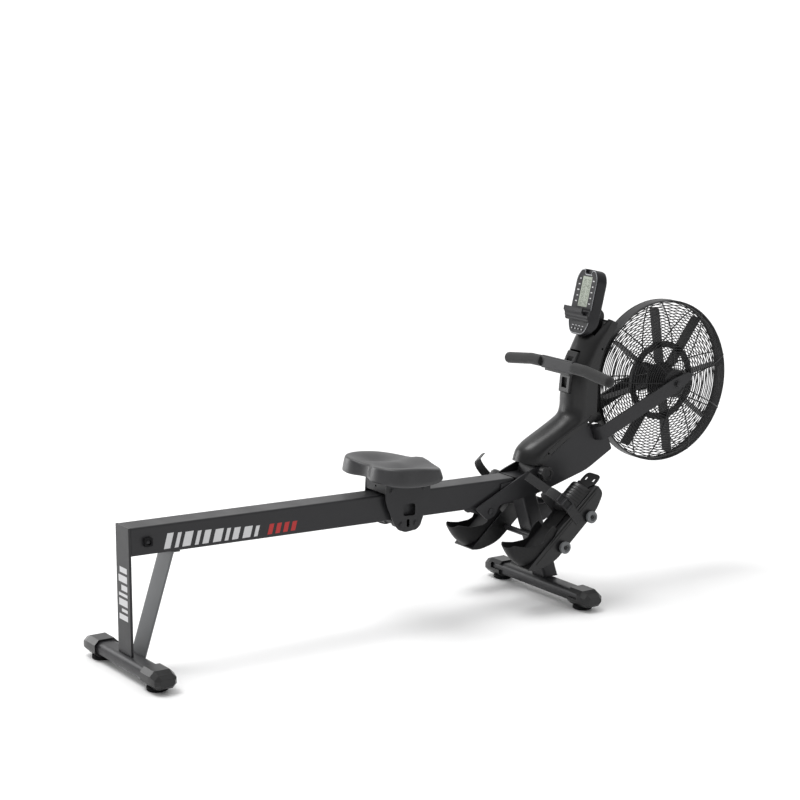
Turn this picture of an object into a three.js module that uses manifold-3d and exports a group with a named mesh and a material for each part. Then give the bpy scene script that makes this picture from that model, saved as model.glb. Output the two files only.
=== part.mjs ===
// Air rowing machine: folding rail, rolling seat, sliding heel cups, strap handle, console and caged fan.
// Millimetres, +Z up, +X from the rear foot towards the fan, +Y to the rower's left.
import * as THREE from "three";
import { mergeVertices } from "three/addons/utils/BufferGeometryUtils.js";
import Module from "manifold-3d";

const wasm = await Module();
wasm.setup();

// ---------------------------------------------------------------- driving dimensions
const GAP = 0.3; // clearance kept between neighbouring solids
const CAGE_RADIUS = 262;
const FAN_X = 1925; // fan axle, measured from the rear foot bar
const FAN_Z = 638.5;
const CAP_HALF_DEPTH = 38; // foot caps, along X
const REAR_X = 0;
const FRONT_X = 1459;
const ORIGIN_X = (FAN_X + CAGE_RADIUS + REAR_X - CAP_HALF_DEPTH) / 2; // middle of the whole length

const RAIL_WIDTH = 80;
const RAIL_HEIGHT = 82;
const RAIL_WALL = 3;
const RAIL_TOP = 430; // height of the rail's top at the rear foot
const RAIL_FALL = 0.0223; // the rail falls towards the fan by this much per mm
const RAIL_REAR = -4;
const RAIL_FRONT = 1315;
const railTop = (x) => RAIL_TOP - RAIL_FALL * x;
const railBottom = (x) => railTop(x) - RAIL_HEIGHT;

const HINGE_X = 1219;
const HINGE_Z = 309;
const HINGE_PIN_RADIUS = 8;
const FOLD_CLEAR_RADIUS = 138; // everything fixed stays outside this circle round the hinge

const CHEEK_OUTER = 53; // half width of the main post
const CHEEK_THICK = 5;
const BOX_HALF_WIDTH = 40;
const KNOB_X = 1409;
const KNOB_Z = 410;

const COVER_HALF_WIDTH = 56;
const COVER_WALL = 2.6;

const INCLINE = THREE.MathUtils.degToRad(40.6); // pedal boards
const PEDAL_X = 1279; // lower end of the pedal boards' top plane
const PEDAL_Z = 170;
const PEDAL_INNER = 100;
const PEDAL_OUTER = 195;
const PEDAL_MIDDLE = (PEDAL_INNER + PEDAL_OUTER) / 2;

const FORK_BASE_X = 1612;
const FORK_BASE_Z = 508;
const FORK_ANGLE = Math.atan2(FAN_Z - FORK_BASE_Z, FAN_X - FORK_BASE_X);
const FORK_REACH = Math.hypot(FAN_Z - FORK_BASE_Z, FAN_X - FORK_BASE_X);
const FORK_OUTER = 93;
const FORK_THICK = 7;
const FORK_HALF_HEIGHT = 23;
const AXLE_RADIUS = 6;

const SPOOL_X = 1590; // strap spool shaft inside the tower
const SPOOL_Z = 605;
const GUIDE_X = 1583; // guide pulley behind the handle rest
const GUIDE_Z = 709;
const GUIDE_RADIUS = 11;
const STRAP_THICK = 2;

const CONSOLE_TILT = THREE.MathUtils.degToRad(14.1);
const CONSOLE_X = 1599; // a point on the console's face
const CONSOLE_Z = 894;

// ---------------------------------------------------------------- materials
const finish = (color, roughness, metalness = 0) =>
  new THREE.MeshStandardMaterial({ color, roughness, metalness });
const FRAME_PAINT = () => finish(0x2f2f31, 0.45, 0.3);
const PALE_PAINT = () => finish(0x8b8d91, 0.4, 0.5);
const BLACK_PLASTIC = () => finish(0x252527, 0.5);
const RUBBER = () => finish(0x17171a, 0.85);
const FOAM = () => finish(0x38383a, 0.9);
const STEEL = () => finish(0x9b9da0, 0.3, 0.9);
const WEBBING = () => finish(0x232324, 0.9);
const SCREEN = () => finish(0xb9c2ad, 0.25);

// ---------------------------------------------------------------- shape helpers
// A BufferGeometry as a manifold solid, turned so that its faces point out.
function solid(geometry) {
  const bare = new THREE.BufferGeometry();
  bare.setAttribute("position", geometry.getAttribute("position").clone());
  if (geometry.index) bare.setIndex(geometry.index.clone());
  const merged = mergeVertices(bare, 1e-3);
  const position = merged.getAttribute("position").array;
  const source = merged.index.array;
  const triVerts = [];
  let volume = 0;
  for (let i = 0; i < source.length; i += 3) {
    const [a, b, c] = [source[i], source[i + 1], source[i + 2]];
    if (a === b || b === c || c === a) continue;
    triVerts.push(a, b, c);
    const [p, q, r] = [a, b, c].map((v) => new THREE.Vector3().fromArray(position, 3 * v));
    volume += p.dot(q.cross(r));
  }
  if (volume < 0) {
    for (let i = 0; i < triVerts.length; i += 3) {
      [triVerts[i + 1], triVerts[i + 2]] = [triVerts[i + 2], triVerts[i + 1]];
    }
  }
  const mesh = new wasm.Mesh({
    numProp: 3,
    vertProperties: new Float32Array(position),
    triVerts: new Uint32Array(triVerts),
  });
  return new wasm.Manifold(mesh);
}

// The solid back as a BufferGeometry with flat normals.
function geometryOf(manifold) {
  const mesh = manifold.getMesh();
  const geometry = new THREE.BufferGeometry();
  geometry.setAttribute("position", new THREE.BufferAttribute(new Float32Array(mesh.vertProperties), 3));
  geometry.setIndex(Array.from(mesh.triVerts));
  geometry.computeVertexNormals();
  return geometry;
}

const join = (...parts) => parts.reduce((whole, part) => whole.add(part));
const cut = (whole, ...parts) => parts.reduce((rest, part) => rest.subtract(part), whole);

// A box from its lowest to its highest corner.
function box(x0, x1, y0, y1, z0, z1) {
  const geometry = new THREE.BoxGeometry(x1 - x0, y1 - y0, z1 - z0);
  geometry.translate((x0 + x1) / 2, (y0 + y1) / 2, (z0 + z1) / 2);
  return solid(geometry);
}

// A polygon with each corner cut back by a curve; a corner may hold its own radius as a third number.
function outline(points, radius = 0) {
  const shape = new THREE.Shape();
  const count = points.length;
  points.forEach(([x, y, own], i) => {
    const corner = new THREE.Vector2(x, y);
    const before = new THREE.Vector2(...points[(i + count - 1) % count].slice(0, 2));
    const after = new THREE.Vector2(...points[(i + 1) % count].slice(0, 2));
    const wanted = own ?? radius;
    const reach = Math.min(wanted, before.distanceTo(corner) * 0.49, after.distanceTo(corner) * 0.49);
    const start = corner.clone().add(before.sub(corner).setLength(reach));
    const end = corner.clone().add(after.sub(corner).setLength(reach));
    if (i === 0) shape.moveTo(start.x, start.y);
    else shape.lineTo(start.x, start.y);
    if (wanted > 0) shape.quadraticCurveTo(corner.x, corner.y, end.x, end.y);
  });
  shape.closePath();
  return shape;
}

// A profile drawn in X and Z, extruded across Y.
function slab(profile, y0, y1, curveSegments = 2) {
  const shape = Array.isArray(profile) ? outline(profile) : profile;
  const geometry = new THREE.ExtrudeGeometry(shape, { depth: y1 - y0, bevelEnabled: false, curveSegments });
  geometry.rotateX(Math.PI / 2);
  geometry.translate(0, y1, 0);
  return solid(geometry);
}

// A profile drawn in X and Y, extruded up from z0 to z1.
function plate(shape, z0, z1, curveSegments = 2) {
  const geometry = new THREE.ExtrudeGeometry(shape, { depth: z1 - z0, bevelEnabled: false, curveSegments });
  geometry.translate(0, 0, z0);
  return solid(geometry);
}

// A cylinder along Y.
function rod(x, z, radius, y0, y1, sides = 12) {
  const geometry = new THREE.CylinderGeometry(radius, radius, y1 - y0, sides);
  geometry.translate(x, (y0 + y1) / 2, z);
  return solid(geometry);
}

// An upright cylinder.
function post(x, y, radius, z0, z1, sides = 20) {
  const geometry = new THREE.CylinderGeometry(radius, radius, z1 - z0, sides);
  geometry.rotateX(Math.PI / 2);
  geometry.translate(x, y, (z0 + z1) / 2);
  return solid(geometry);
}

// A ring turned about Y from a closed profile of [radius, y] points.
function turned(profile, x, z, segments) {
  const points = [...profile, profile[0]].map(([r, y]) => new THREE.Vector2(r, y));
  const geometry = new THREE.LatheGeometry(points, segments);
  geometry.translate(x, 0, z);
  return solid(geometry);
}

// A solid through a row of rings that have the same number of points.
function loft(rings) {
  const count = rings[0].length;
  const positions = [];
  const index = [];
  for (const ring of rings) {
    for (const point of ring) positions.push(...point);
  }
  for (let r = 0; r + 1 < rings.length; r += 1) {
    for (let i = 0; i < count; i += 1) {
      const a = r * count + i;
      const b = r * count + ((i + 1) % count);
      index.push(a, b, a + count, b, b + count, a + count);
    }
  }
  for (const [ring, start, turn] of [[rings[0], 0, 1], [rings.at(-1), (rings.length - 1) * count, -1]]) {
    const middle = [0, 1, 2].map((axis) => ring.reduce((sum, p) => sum + p[axis], 0) / count);
    const centre = positions.length / 3;
    positions.push(...middle);
    for (let i = 0; i < count; i += 1) {
      const a = start + i;
      const b = start + ((i + 1) % count);
      if (turn > 0) index.push(centre, b, a);
      else index.push(centre, a, b);
    }
  }
  const geometry = new THREE.BufferGeometry();
  geometry.setAttribute("position", new THREE.Float32BufferAttribute(positions, 3));
  geometry.setIndex(index);
  return solid(geometry);
}

const mirrored = (manifold) => manifold.mirror([0, 1, 0]);
const sided = (manifold, side) => (side > 0 ? manifold : mirrored(manifold));
const turnedAboutY = (manifold, degrees) => manifold.rotate([0, degrees, 0]);

// ---------------------------------------------------------------- the scene graph
const machine = new THREE.Group();
machine.position.x = -ORIGIN_X;

function add(name, manifold, material, parent = machine) {
  const mesh = new THREE.Mesh(geometryOf(manifold), material());
  mesh.name = name;
  parent.add(mesh);
  return mesh;
}

const SIDES = [["left", 1], ["right", -1]];

// ---------------------------------------------------------------- feet: bar, end caps and rubber pads
const BAR_BOTTOM = 18;
const BAR_TOP = 58;
const CAP_LENGTH = 92;
const PAD_HEIGHT = 13;
const PAD_INSET = 63; // pad centre, in from the cap's tip
const BAR_HALF_DEPTH = 31;
const BAR_WALL = 3;
const BAR_ROUND = 20;
const BAR_INSET = 24; // the bar ends this far inside the cap's tip

// The bar's section, grown or shrunk all round.
function barSection(x, grow) {
  const half = BAR_HALF_DEPTH + grow;
  return outline([[x - half, BAR_BOTTOM - grow], [x + half, BAR_BOTTOM - grow],
    [x + half, BAR_TOP + grow], [x - half, BAR_TOP + grow]], BAR_ROUND + Math.min(grow, 0));
}

function footBar(name, x, tip) {
  const length = tip - BAR_INSET;
  const tube = slab(barSection(x, 0), -length, length);
  const hollow = slab(barSection(x, -BAR_WALL), -length - 5, length + 5);
  const drain = box(x - 4, x + 4, -4, 4, BAR_BOTTOM - 1, BAR_BOTTOM + BAR_WALL + 1); // in the underside
  add(name, cut(tube, hollow, drain), FRAME_PAINT);
}

function capRing(x, y, half, z0, z1, chamfer) {
  const points = [
    [x - half, z0 + chamfer], [x - half + chamfer, z0], [x + half - chamfer, z0], [x + half, z0 + chamfer],
    [x + half, z1 - chamfer], [x + half - chamfer, z1], [x - half + chamfer, z1], [x - half, z1 - chamfer],
  ];
  return points.map(([px, pz]) => [px, y, pz]);
}

function footCap(name, x, tip, side) {
  const inner = tip - CAP_LENGTH;
  const shell = loft([
    capRing(x, inner, CAP_HALF_DEPTH, 13, 64, 14),
    capRing(x, tip - 34, CAP_HALF_DEPTH, 13, 64, 14),
    capRing(x, tip - 12, CAP_HALF_DEPTH * 0.9, 15, 56, 12),
    capRing(x, tip, CAP_HALF_DEPTH * 0.62, 24, 46, 7),
  ]);
  const notch = box(x - CAP_HALF_DEPTH - 1, x - 18, inner - 1, inner + 44, 36, 54);
  const bore = slab(barSection(x, 0.4), inner - 1, tip - BAR_INSET + 0.4);
  add(name, sided(cut(shell, bore, notch), side), BLACK_PLASTIC);
}

function foot(prefix, x, tip) {
  footBar(`${prefix}_foot_bar`, x, tip);
  for (const [label, side] of SIDES) {
    footCap(`${prefix}_cap_${label}`, x, tip, side);
    const pad = post(x, side * (tip - PAD_INSET), 30, 0, PAD_HEIGHT - GAP, 18);
    add(`${prefix}_pad_${label}`, pad, RUBBER);
  }
}
foot("rear", REAR_X, 233);
foot("front", FRONT_X, 271);

// ---------------------------------------------------------------- rear upright and strut
const UPRIGHT_BACK = -12;
const uprightTop = railTop(UPRIGHT_BACK);
add("rear_upright",
  slab([[UPRIGHT_BACK, BAR_TOP + GAP], [RAIL_REAR - GAP, BAR_TOP + GAP],
    [RAIL_REAR - GAP, uprightTop], [UPRIGHT_BACK, uprightTop]], -RAIL_WIDTH / 2, RAIL_WIDTH / 2),
  FRAME_PAINT);
const STRUT_LEAN = 0.326; // forward travel per mm of height
const STRUT_THICK = 6.6; // along X
const strutBack = (z) => 11.5 + STRUT_LEAN * z;
const strutTop = railBottom(120) - GAP;
const STRUT_TAB = 26; // the folded tab bolted under the rail
const STRUT_FOOT = 46; // height of its lower end, beside the foot bar
const barClearance = slab(barSection(REAR_X, GAP), -60, 60);
const strut = slab([
  [strutBack(STRUT_FOOT), STRUT_FOOT], [strutBack(STRUT_FOOT) + STRUT_THICK, STRUT_FOOT],
  [strutBack(strutTop - 4) + STRUT_THICK, strutTop - 4], [strutBack(strutTop) + STRUT_TAB, strutTop - 4],
  [strutBack(strutTop) + STRUT_TAB, strutTop - 0.6], [strutBack(strutTop), strutTop]], -39, 39);
add("rear_strut", cut(strut, barClearance), PALE_PAINT);

// ---------------------------------------------------------------- rail, with its hinge lugs and lock plate
const STOP_X = 46;
const STOP_Z = 385;
const STOP_BOLT = 4;
const railProfile = (x0, x1, inset) => [
  [x0, railBottom(x0) + inset], [x1, railBottom(x1) + inset],
  [x1, railTop(x1) - inset], [x0, railTop(x0) - inset]];
const railTube = slab(railProfile(RAIL_REAR, RAIL_FRONT, 0), -RAIL_WIDTH / 2, RAIL_WIDTH / 2);
const railHollow = slab(railProfile(RAIL_REAR - 5, RAIL_FRONT - RAIL_WALL, RAIL_WALL),
  -RAIL_WIDTH / 2 + RAIL_WALL, RAIL_WIDTH / 2 - RAIL_WALL);
const lugProfile = [
  [1132, 324.5], [1132, 318], [1150, 313], [1204, 296], [1219, 291], [1234, 296], [1240, 310], [1240, 322]];
const lugs = [1, -1].map((side) => sided(slab(outline(lugProfile, 6), 33, 39), side));
const lockProfile = [
  [1262, 350], [1262, 388], [1330, 392], [1392, 419], [1424, 419], [1424, 396], [1380, 388], [1330, 350]];
const lockPlate = join(slab(outline(lockProfile, 6), -46.5, -41.7),
  slab([[1266, 352], [1300, 352], [1300, 386], [1266, 386]], -42, -39.5));
const lockHole = rod(KNOB_X, KNOB_Z - 3, 6, -48, -41, 14);
const lugHole = rod(HINGE_X, HINGE_Z, HINGE_PIN_RADIUS + GAP, -50, 50);
const stopHole = rod(STOP_X, STOP_Z, STOP_BOLT + GAP, -60, 60, 12);
add("rail_beam", cut(join(railTube, ...lugs, lockPlate), railHollow, lockHole, lugHole, stopHole), FRAME_PAINT);

// The stop is one bolt through the rail with a square block on each end.
const stopBlock = slab(outline([[STOP_X - 12.5, STOP_Z - 12.5], [STOP_X + 12.5, STOP_Z - 12.5],
  [STOP_X + 12.5, STOP_Z + 12.5], [STOP_X - 12.5, STOP_Z + 12.5]], 4), RAIL_WIDTH / 2 + GAP, 51);
add("rail_stop", join(rod(STOP_X, STOP_Z, STOP_BOLT, -45, 45, 12), stopBlock, mirrored(stopBlock)), RUBBER);

// ---------------------------------------------------------------- main post and front leg
const foldClearance = rod(HINGE_X, HINGE_Z, FOLD_CLEAR_RADIUS,
  -CHEEK_OUTER + CHEEK_THICK, CHEEK_OUTER - CHEEK_THICK, 48);
const forkSlotLevel = box(-GAP, FORK_THICK + GAP, -CHEEK_OUTER - 10, CHEEK_OUTER + 10,
  -FORK_HALF_HEIGHT - GAP, FORK_HALF_HEIGHT + GAP);
const forkSlot = turnedAboutY(forkSlotLevel, -THREE.MathUtils.radToDeg(FORK_ANGLE))
  .translate([FORK_BASE_X, 0, FORK_BASE_Z]);
const cheekProfile = outline([
  [1160, 325, 6], [1187, 300, 20], [1203, 284, 8], [1234, 290, 16], [1251, 326, 10], [1406, 343, 30],
  [1591, 394, 20], [1643, 423, 30], [1691, 449, 4], [1672, 500, 20], [1640, 538, 10],
  [1572, 533, 20], [1490, 486, 20], [1415, 434, 20], [1346, 411, 10]]);
const cheek = slab(cheekProfile, CHEEK_OUTER - CHEEK_THICK, CHEEK_OUTER);
const stubTop = (x) => railTop(x) - 0.4;
const boxProfile = [
  [1318, stubTop(1318)], [1318, 341], [1406, 344], [1591, 395], [1643, 424], [1684, 448],
  [1668, 492], [1636, 530], [1572, 526], [1490, 480], [1410, 440], [1392, 421], [1387, stubTop(1387)]];
const boxInside = [
  [1300, stubTop(1318) - 4], [1300, 346], [1404, 348], [1590, 399], [1640, 427], [1678, 450],
  [1663, 490], [1633, 525], [1573, 521], [1492, 476], [1413, 436], [1396, 419], [1391, stubTop(1387) - 4]];
const spacerProfile = [[1470, 366], [1591, 398], [1640, 426], [1630, 500], [1572, 500], [1470, 440]];
const postBox = cut(slab(boxProfile, -BOX_HALF_WIDTH, BOX_HALF_WIDTH),
  slab(boxInside, -BOX_HALF_WIDTH + 3, BOX_HALF_WIDTH - 3));
const spacer = slab(spacerProfile, BOX_HALF_WIDTH - 1, CHEEK_OUTER - 1);
const knobBoss = rod(KNOB_X, KNOB_Z, 15, -62, -CHEEK_OUTER + 0.5, 20);
const knobBore = rod(KNOB_X, KNOB_Z, 5.3, -70, -CHEEK_OUTER + CHEEK_THICK + 1, 14);
const pinHole = rod(HINGE_X, HINGE_Z, HINGE_PIN_RADIUS + GAP, -60, 60);
add("main_post",
  cut(join(cut(postBox, foldClearance), cheek, mirrored(cheek), spacer, mirrored(spacer), knobBoss),
    pinHole, knobBore, forkSlot),
  FRAME_PAINT);

const hingeHead = rod(HINGE_X, HINGE_Z, HINGE_PIN_RADIUS + 2, CHEEK_OUTER + GAP, CHEEK_OUTER + 5, 12);
const hingeShank = rod(HINGE_X, HINGE_Z, HINGE_PIN_RADIUS, -CHEEK_OUTER - 2, CHEEK_OUTER + 2);
add("hinge_pin", join(hingeShank, hingeHead, mirrored(hingeHead)), STEEL);

const LEG_LEAN = 0.325;
const legBack = (z) => 1364 + LEG_LEAN * (303 - z);
const LEG_DEPTH = 55;
const LEG_HALF_WIDTH = 34;
const LEG_TOP = 340.6;
const LEG_WALL = 3;
const PEDAL_ROD_RADIUS = 9;
const LOWER_ROD = [1390, 203]; // this rod passes through the leg's back edge
const UPPER_ROD = [1492, 285];
const LEG_BOTTOM = BAR_TOP + GAP;
const legProfile = (inset) => [
  [legBack(LEG_BOTTOM) + inset, LEG_BOTTOM], [legBack(LEG_BOTTOM) + LEG_DEPTH - inset, LEG_BOTTOM],
  [legBack(LEG_TOP) + LEG_DEPTH - inset, LEG_TOP], [legBack(LEG_TOP) + inset, LEG_TOP]];
const legTube = cut(slab(legProfile(0), -LEG_HALF_WIDTH, LEG_HALF_WIDTH),
  slab(legProfile(LEG_WALL), -LEG_HALF_WIDTH + LEG_WALL, LEG_HALF_WIDTH - LEG_WALL), foldClearance);
const armProfile = outline([
  [1400, 262], [1412, 236], [1492, 268, 20], [1512, 285, 16], [1492, 303, 16], [1404, 300]], 4);
const rodArm = slab(armProfile, LEG_HALF_WIDTH - 7, LEG_HALF_WIDTH - 1);
const rodClearance = ([x, z]) => rod(x, z, PEDAL_ROD_RADIUS + GAP, -60, 60);
const rodHoles = [LOWER_ROD, UPPER_ROD].map(rodClearance);
add("front_leg", cut(join(legTube, rodArm, mirrored(rodArm)), ...rodHoles), FRAME_PAINT);

// ---------------------------------------------------------------- pedal boards, heel cups, toe plates, straps
const pedals = new THREE.Group();
pedals.position.set(PEDAL_X, 0, PEDAL_Z);
pedals.rotation.y = -INCLINE;
machine.add(pedals);
const alongPedal = ([x, z]) => [
  (x - PEDAL_X) * Math.cos(INCLINE) + (z - PEDAL_Z) * Math.sin(INCLINE),
  (z - PEDAL_Z) * Math.cos(INCLINE) - (x - PEDAL_X) * Math.sin(INCLINE)];

const ROD_CAP_OUTER = 212;
for (const [name, centre] of [["pedal_rod_lower", LOWER_ROD], ["pedal_rod_upper", UPPER_ROD]]) {
  const [x, z] = centre;
  const flange = rod(x, z, 19, PEDAL_OUTER + 4, ROD_CAP_OUTER, 16);
  const socket = rod(x, z, 8, ROD_CAP_OUTER - 5, ROD_CAP_OUTER + 1, 6);
  const collar = rod(x, z, 15, PEDAL_OUTER + GAP, PEDAL_OUTER + 5, 12);
  const end = cut(join(flange, collar), socket);
  const bar = rod(x, z, PEDAL_ROD_RADIUS, -PEDAL_OUTER - 6, PEDAL_OUTER + 6);
  add(name, join(bar, end, mirrored(end)), FRAME_PAINT);
}

const BOARD_LIP = 5;
const boardProfile = outline([
  [-18, 0, 6], [-34, -1, 6], [-12, -26, 30], [50, -60, 40], [268, -58, 30], [322, -34, 26], [322, 0, 6]], 10);
const lipProfile = [[0, -6], [318, -6], [318, BOARD_LIP], [120, BOARD_LIP], [110, 0]];
const undersideProfile = [[60, -70], [260, -70], [250, -34], [80, -34]];

// The heel cup: a floor with a wall whose height falls from the heel and rises again beside the foot.
const CUP_HALF_WIDTH = 41;
const CUP_FRONT = 128; // open end, along the board
const CUP_ROUND = 22; // where the straight sides turn into the heel
const CUP_WALL = 3;
const CUP_FLOOR = 4;
const CUP_REACH = 50; // how far the heel runs back from there
const CUP_SQUARE = 0.85; // below 1 the heel is squarer than a half circle
const CUP_LOWEST = 70; // where the wall is lowest, along the board
const HEEL_FLAT = -12; // the wall is level behind this
const wallHeight = (s) => (s < CUP_LOWEST
  ? 12 + 70 * ((CUP_LOWEST - Math.max(s, HEEL_FLAT)) / (CUP_LOWEST - HEEL_FLAT)) ** 1.7
  : 12 + 12 * Math.sin((Math.PI * (s - CUP_LOWEST)) / 80));
const heelPoint = (angle, reach) => [
  CUP_ROUND + reach * Math.sign(Math.cos(angle)) * Math.abs(Math.cos(angle)) ** CUP_SQUARE,
  Math.sign(Math.sin(angle)) * Math.abs(Math.sin(angle)) ** CUP_SQUARE];
function cupPath() {
  const points = [[CUP_FRONT, 1], [100, 1], [72, 1], [CUP_ROUND + 22, 1]];
  const stations = 7;
  for (let i = 0; i <= stations; i += 1) {
    points.push(heelPoint(Math.PI / 2 + (Math.PI * i) / stations, CUP_REACH));
  }
  points.push([CUP_ROUND + 22, -1], [72, -1], [100, -1], [CUP_FRONT, -1]);
  return points;
}
function heelCup() {
  const rings = cupPath().map(([s, across]) => {
    const high = CUP_FLOOR + wallHeight(s);
    const point = (level, thick) => {
      const bulge = 6 * Math.sin((Math.PI * level) / high);
      const round = Math.min(1, Math.max(0, (CUP_ROUND - s) / CUP_REACH));
      return [s - bulge * round + thick * round, (CUP_HALF_WIDTH - thick) * across, level];
    };
    return [point(1, 0), point(high * 0.5, 0), point(high, 0),
      point(high, CUP_WALL), point(high * 0.5, CUP_WALL), point(1, CUP_WALL)];
  });
  const inside = CUP_HALF_WIDTH - 0.6;
  const shape = new THREE.Shape();
  shape.moveTo(CUP_FRONT, -inside);
  shape.lineTo(CUP_FRONT, inside);
  shape.lineTo(CUP_ROUND, inside);
  for (let i = 1; i < 8; i += 1) {
    const [s, across] = heelPoint(Math.PI / 2 + (Math.PI * i) / 8, CUP_REACH - 1);
    shape.lineTo(s, inside * across);
  }
  shape.lineTo(CUP_ROUND, -inside);
  shape.closePath();
  const floor = plate(shape, 1, CUP_FLOOR);
  const tongue = plate(outline([
    [CUP_FRONT - 5, -20], [306, -20], [318, -37, 10], [356, -34, 30], [356, 34, 30], [318, 37, 10],
    [306, 20], [CUP_FRONT - 5, 20]], 4), 1, CUP_FLOOR);
  const slots = [18, -18].map((y) =>
    plate(outline([[326, y - 4], [338, y - 4], [338, y + 4], [326, y + 4]], 4), 0, 6, 3));
  return cut(join(loft(rings), floor, tongue), ...slots).translate([0, PEDAL_MIDDLE, 0]);
}

// The toe plate: a crowned ribbed pad that bridges the heel cup's tongue.
function toePlate() {
  const rings = [196, 206, 282, 292].map((s, i) => {
    const low = i === 0 || i === 3 ? 5 : 0;
    const ring = [];
    const steps = 8;
    for (let k = 0; k <= steps; k += 1) {
      const y = -38 + (76 * k) / steps;
      ring.push([s, y, 12 + 20 * (1 - (y / 38) ** 2) - low]);
    }
    ring.push([s, 38, 1], [s, 24, 1], [s, 22, 7], [s, -22, 7], [s, -24, 1], [s, -38, 1]);
    return ring;
  });
  return loft(rings).translate([0, PEDAL_MIDDLE, 0]);
}

// The foot strap: an arch from the board's outer side to its inner side, with a free tail and a buckle.
const STRAP_START = 186;
const STRAP_WIDE = 30;
function bandAlong(points, thick) {
  const left = [];
  const right = [];
  points.forEach(([y, w], i) => {
    const [ay, aw] = points[Math.max(i - 1, 0)];
    const [by, bw] = points[Math.min(i + 1, points.length - 1)];
    const length = Math.hypot(by - ay, bw - aw);
    const normal = [(-(bw - aw) / length) * (thick / 2), ((by - ay) / length) * (thick / 2)];
    left.push([y + normal[0], w + normal[1]]);
    right.unshift([y - normal[0], w - normal[1]]);
  });
  const shape = new THREE.Shape([...left, ...right].map(([y, w]) => new THREE.Vector2(y, w)));
  const geometry = new THREE.ExtrudeGeometry(shape, { depth: STRAP_WIDE, bevelEnabled: false });
  // The drawing's first axis becomes Y and its second becomes Z.
  geometry.applyMatrix4(new THREE.Matrix4().set(0, 0, 1, STRAP_START, 1, 0, 0, 0, 0, 1, 0, 0, 0, 0, 0, 1));
  return solid(geometry);
}
const WEB_THICK = 2.4;
const STRAP_TAILS = {
  left: [[196, 40], [203, 64], [206, 92], [200, 120], [180, 150], [150, 170], [129, 179]],
  right: [[147, 94.6], [133, 101], [79, 146]],
};
function footStrap(label) {
  const arch = bandAlong([
    [197, -34], [197, 6], [196, 40], [186, 66], [168, 86], [147, 94], [124, 92], [106, 76],
    [97.5, 46], [97.5, 8], [97.5, -20]], WEB_THICK);
  const buckle = bandAlong([[196.5, 38], [187, 64], [178, 76]], 7);
  return join(arch, bandAlong(STRAP_TAILS[label], WEB_THICK), buckle);
}

for (const [label, side] of SIDES) {
  const board = slab(boardProfile, PEDAL_INNER, PEDAL_OUTER);
  const lip = slab(lipProfile, PEDAL_OUTER - 5, PEDAL_OUTER);
  const underside = slab(undersideProfile, PEDAL_INNER + 5, PEDAL_OUTER - 5);
  const holes = [LOWER_ROD, UPPER_ROD].map((centre) => {
    const [s, w] = alongPedal(centre);
    return rod(s, w, PEDAL_ROD_RADIUS + GAP, PEDAL_INNER - 5, PEDAL_OUTER + 5);
  });
  add(`pedal_base_${label}`, sided(cut(join(board, lip), underside, ...holes), side), BLACK_PLASTIC, pedals);
  add(`heel_cup_${label}`, sided(heelCup(), side), RUBBER, pedals);
  add(`toe_plate_${label}`, sided(toePlate(), side), BLACK_PLASTIC, pedals);
  add(`foot_strap_${label}`, sided(footStrap(label), side), WEBBING, pedals);
}

// ---------------------------------------------------------------- lock knob
const knob = new THREE.Shape();
const LOBES = 6;
for (let i = 0; i < LOBES * 4; i += 1) {
  const angle = (2 * Math.PI * i) / (LOBES * 4);
  const radius = 22 + 1.6 * Math.cos(LOBES * angle);
  if (i === 0) knob.moveTo(KNOB_X + radius, KNOB_Z);
  else knob.lineTo(KNOB_X + radius * Math.cos(angle), KNOB_Z + radius * Math.sin(angle));
}
knob.closePath();
const knobPin = rod(KNOB_X, KNOB_Z, 5, -63, -CHEEK_OUTER + CHEEK_THICK - 0.2, 14);
add("lock_knob", join(slab(knob, -88, -66), rod(KNOB_X, KNOB_Z, 14, -67, -62.5, 16), knobPin), BLACK_PLASTIC);

// ---------------------------------------------------------------- fan: fork, axle, wheel and cage
const fork = new THREE.Group();
fork.position.set(FORK_BASE_X, 0, FORK_BASE_Z);
fork.rotation.y = -FORK_ANGLE;
machine.add(fork);
const ARM_END = FORK_REACH + 64;
const BEND = 40;
const forkPlan = new THREE.Shape();
forkPlan.moveTo(ARM_END, FORK_OUTER);
forkPlan.lineTo(BEND, FORK_OUTER);
forkPlan.quadraticCurveTo(0, FORK_OUTER, 0, FORK_OUTER - BEND);
forkPlan.lineTo(0, -FORK_OUTER + BEND);
forkPlan.quadraticCurveTo(0, -FORK_OUTER, BEND, -FORK_OUTER);
forkPlan.lineTo(ARM_END, -FORK_OUTER);
forkPlan.lineTo(ARM_END, -FORK_OUTER + FORK_THICK);
forkPlan.lineTo(BEND, -FORK_OUTER + FORK_THICK);
forkPlan.quadraticCurveTo(FORK_THICK, -FORK_OUTER + FORK_THICK, FORK_THICK, -FORK_OUTER + BEND);
forkPlan.lineTo(FORK_THICK, FORK_OUTER - BEND);
forkPlan.quadraticCurveTo(FORK_THICK, FORK_OUTER - FORK_THICK, BEND, FORK_OUTER - FORK_THICK);
forkPlan.lineTo(ARM_END, FORK_OUTER - FORK_THICK);
forkPlan.closePath();
const forkSide = outline([
  [-5, -FORK_HALF_HEIGHT, 1], [FORK_REACH, -FORK_HALF_HEIGHT, 20], [ARM_END, -12, 14], [ARM_END, 12, 14],
  [FORK_REACH, FORK_HALF_HEIGHT, 20], [-5, FORK_HALF_HEIGHT, 1]]);
const forkBar = plate(forkPlan, -FORK_HALF_HEIGHT, FORK_HALF_HEIGHT, 5).intersect(slab(forkSide, -100, 100));
add("fan_fork", cut(forkBar, rod(FORK_REACH, 0, AXLE_RADIUS + GAP, -100, 100)), FRAME_PAINT, fork);

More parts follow.
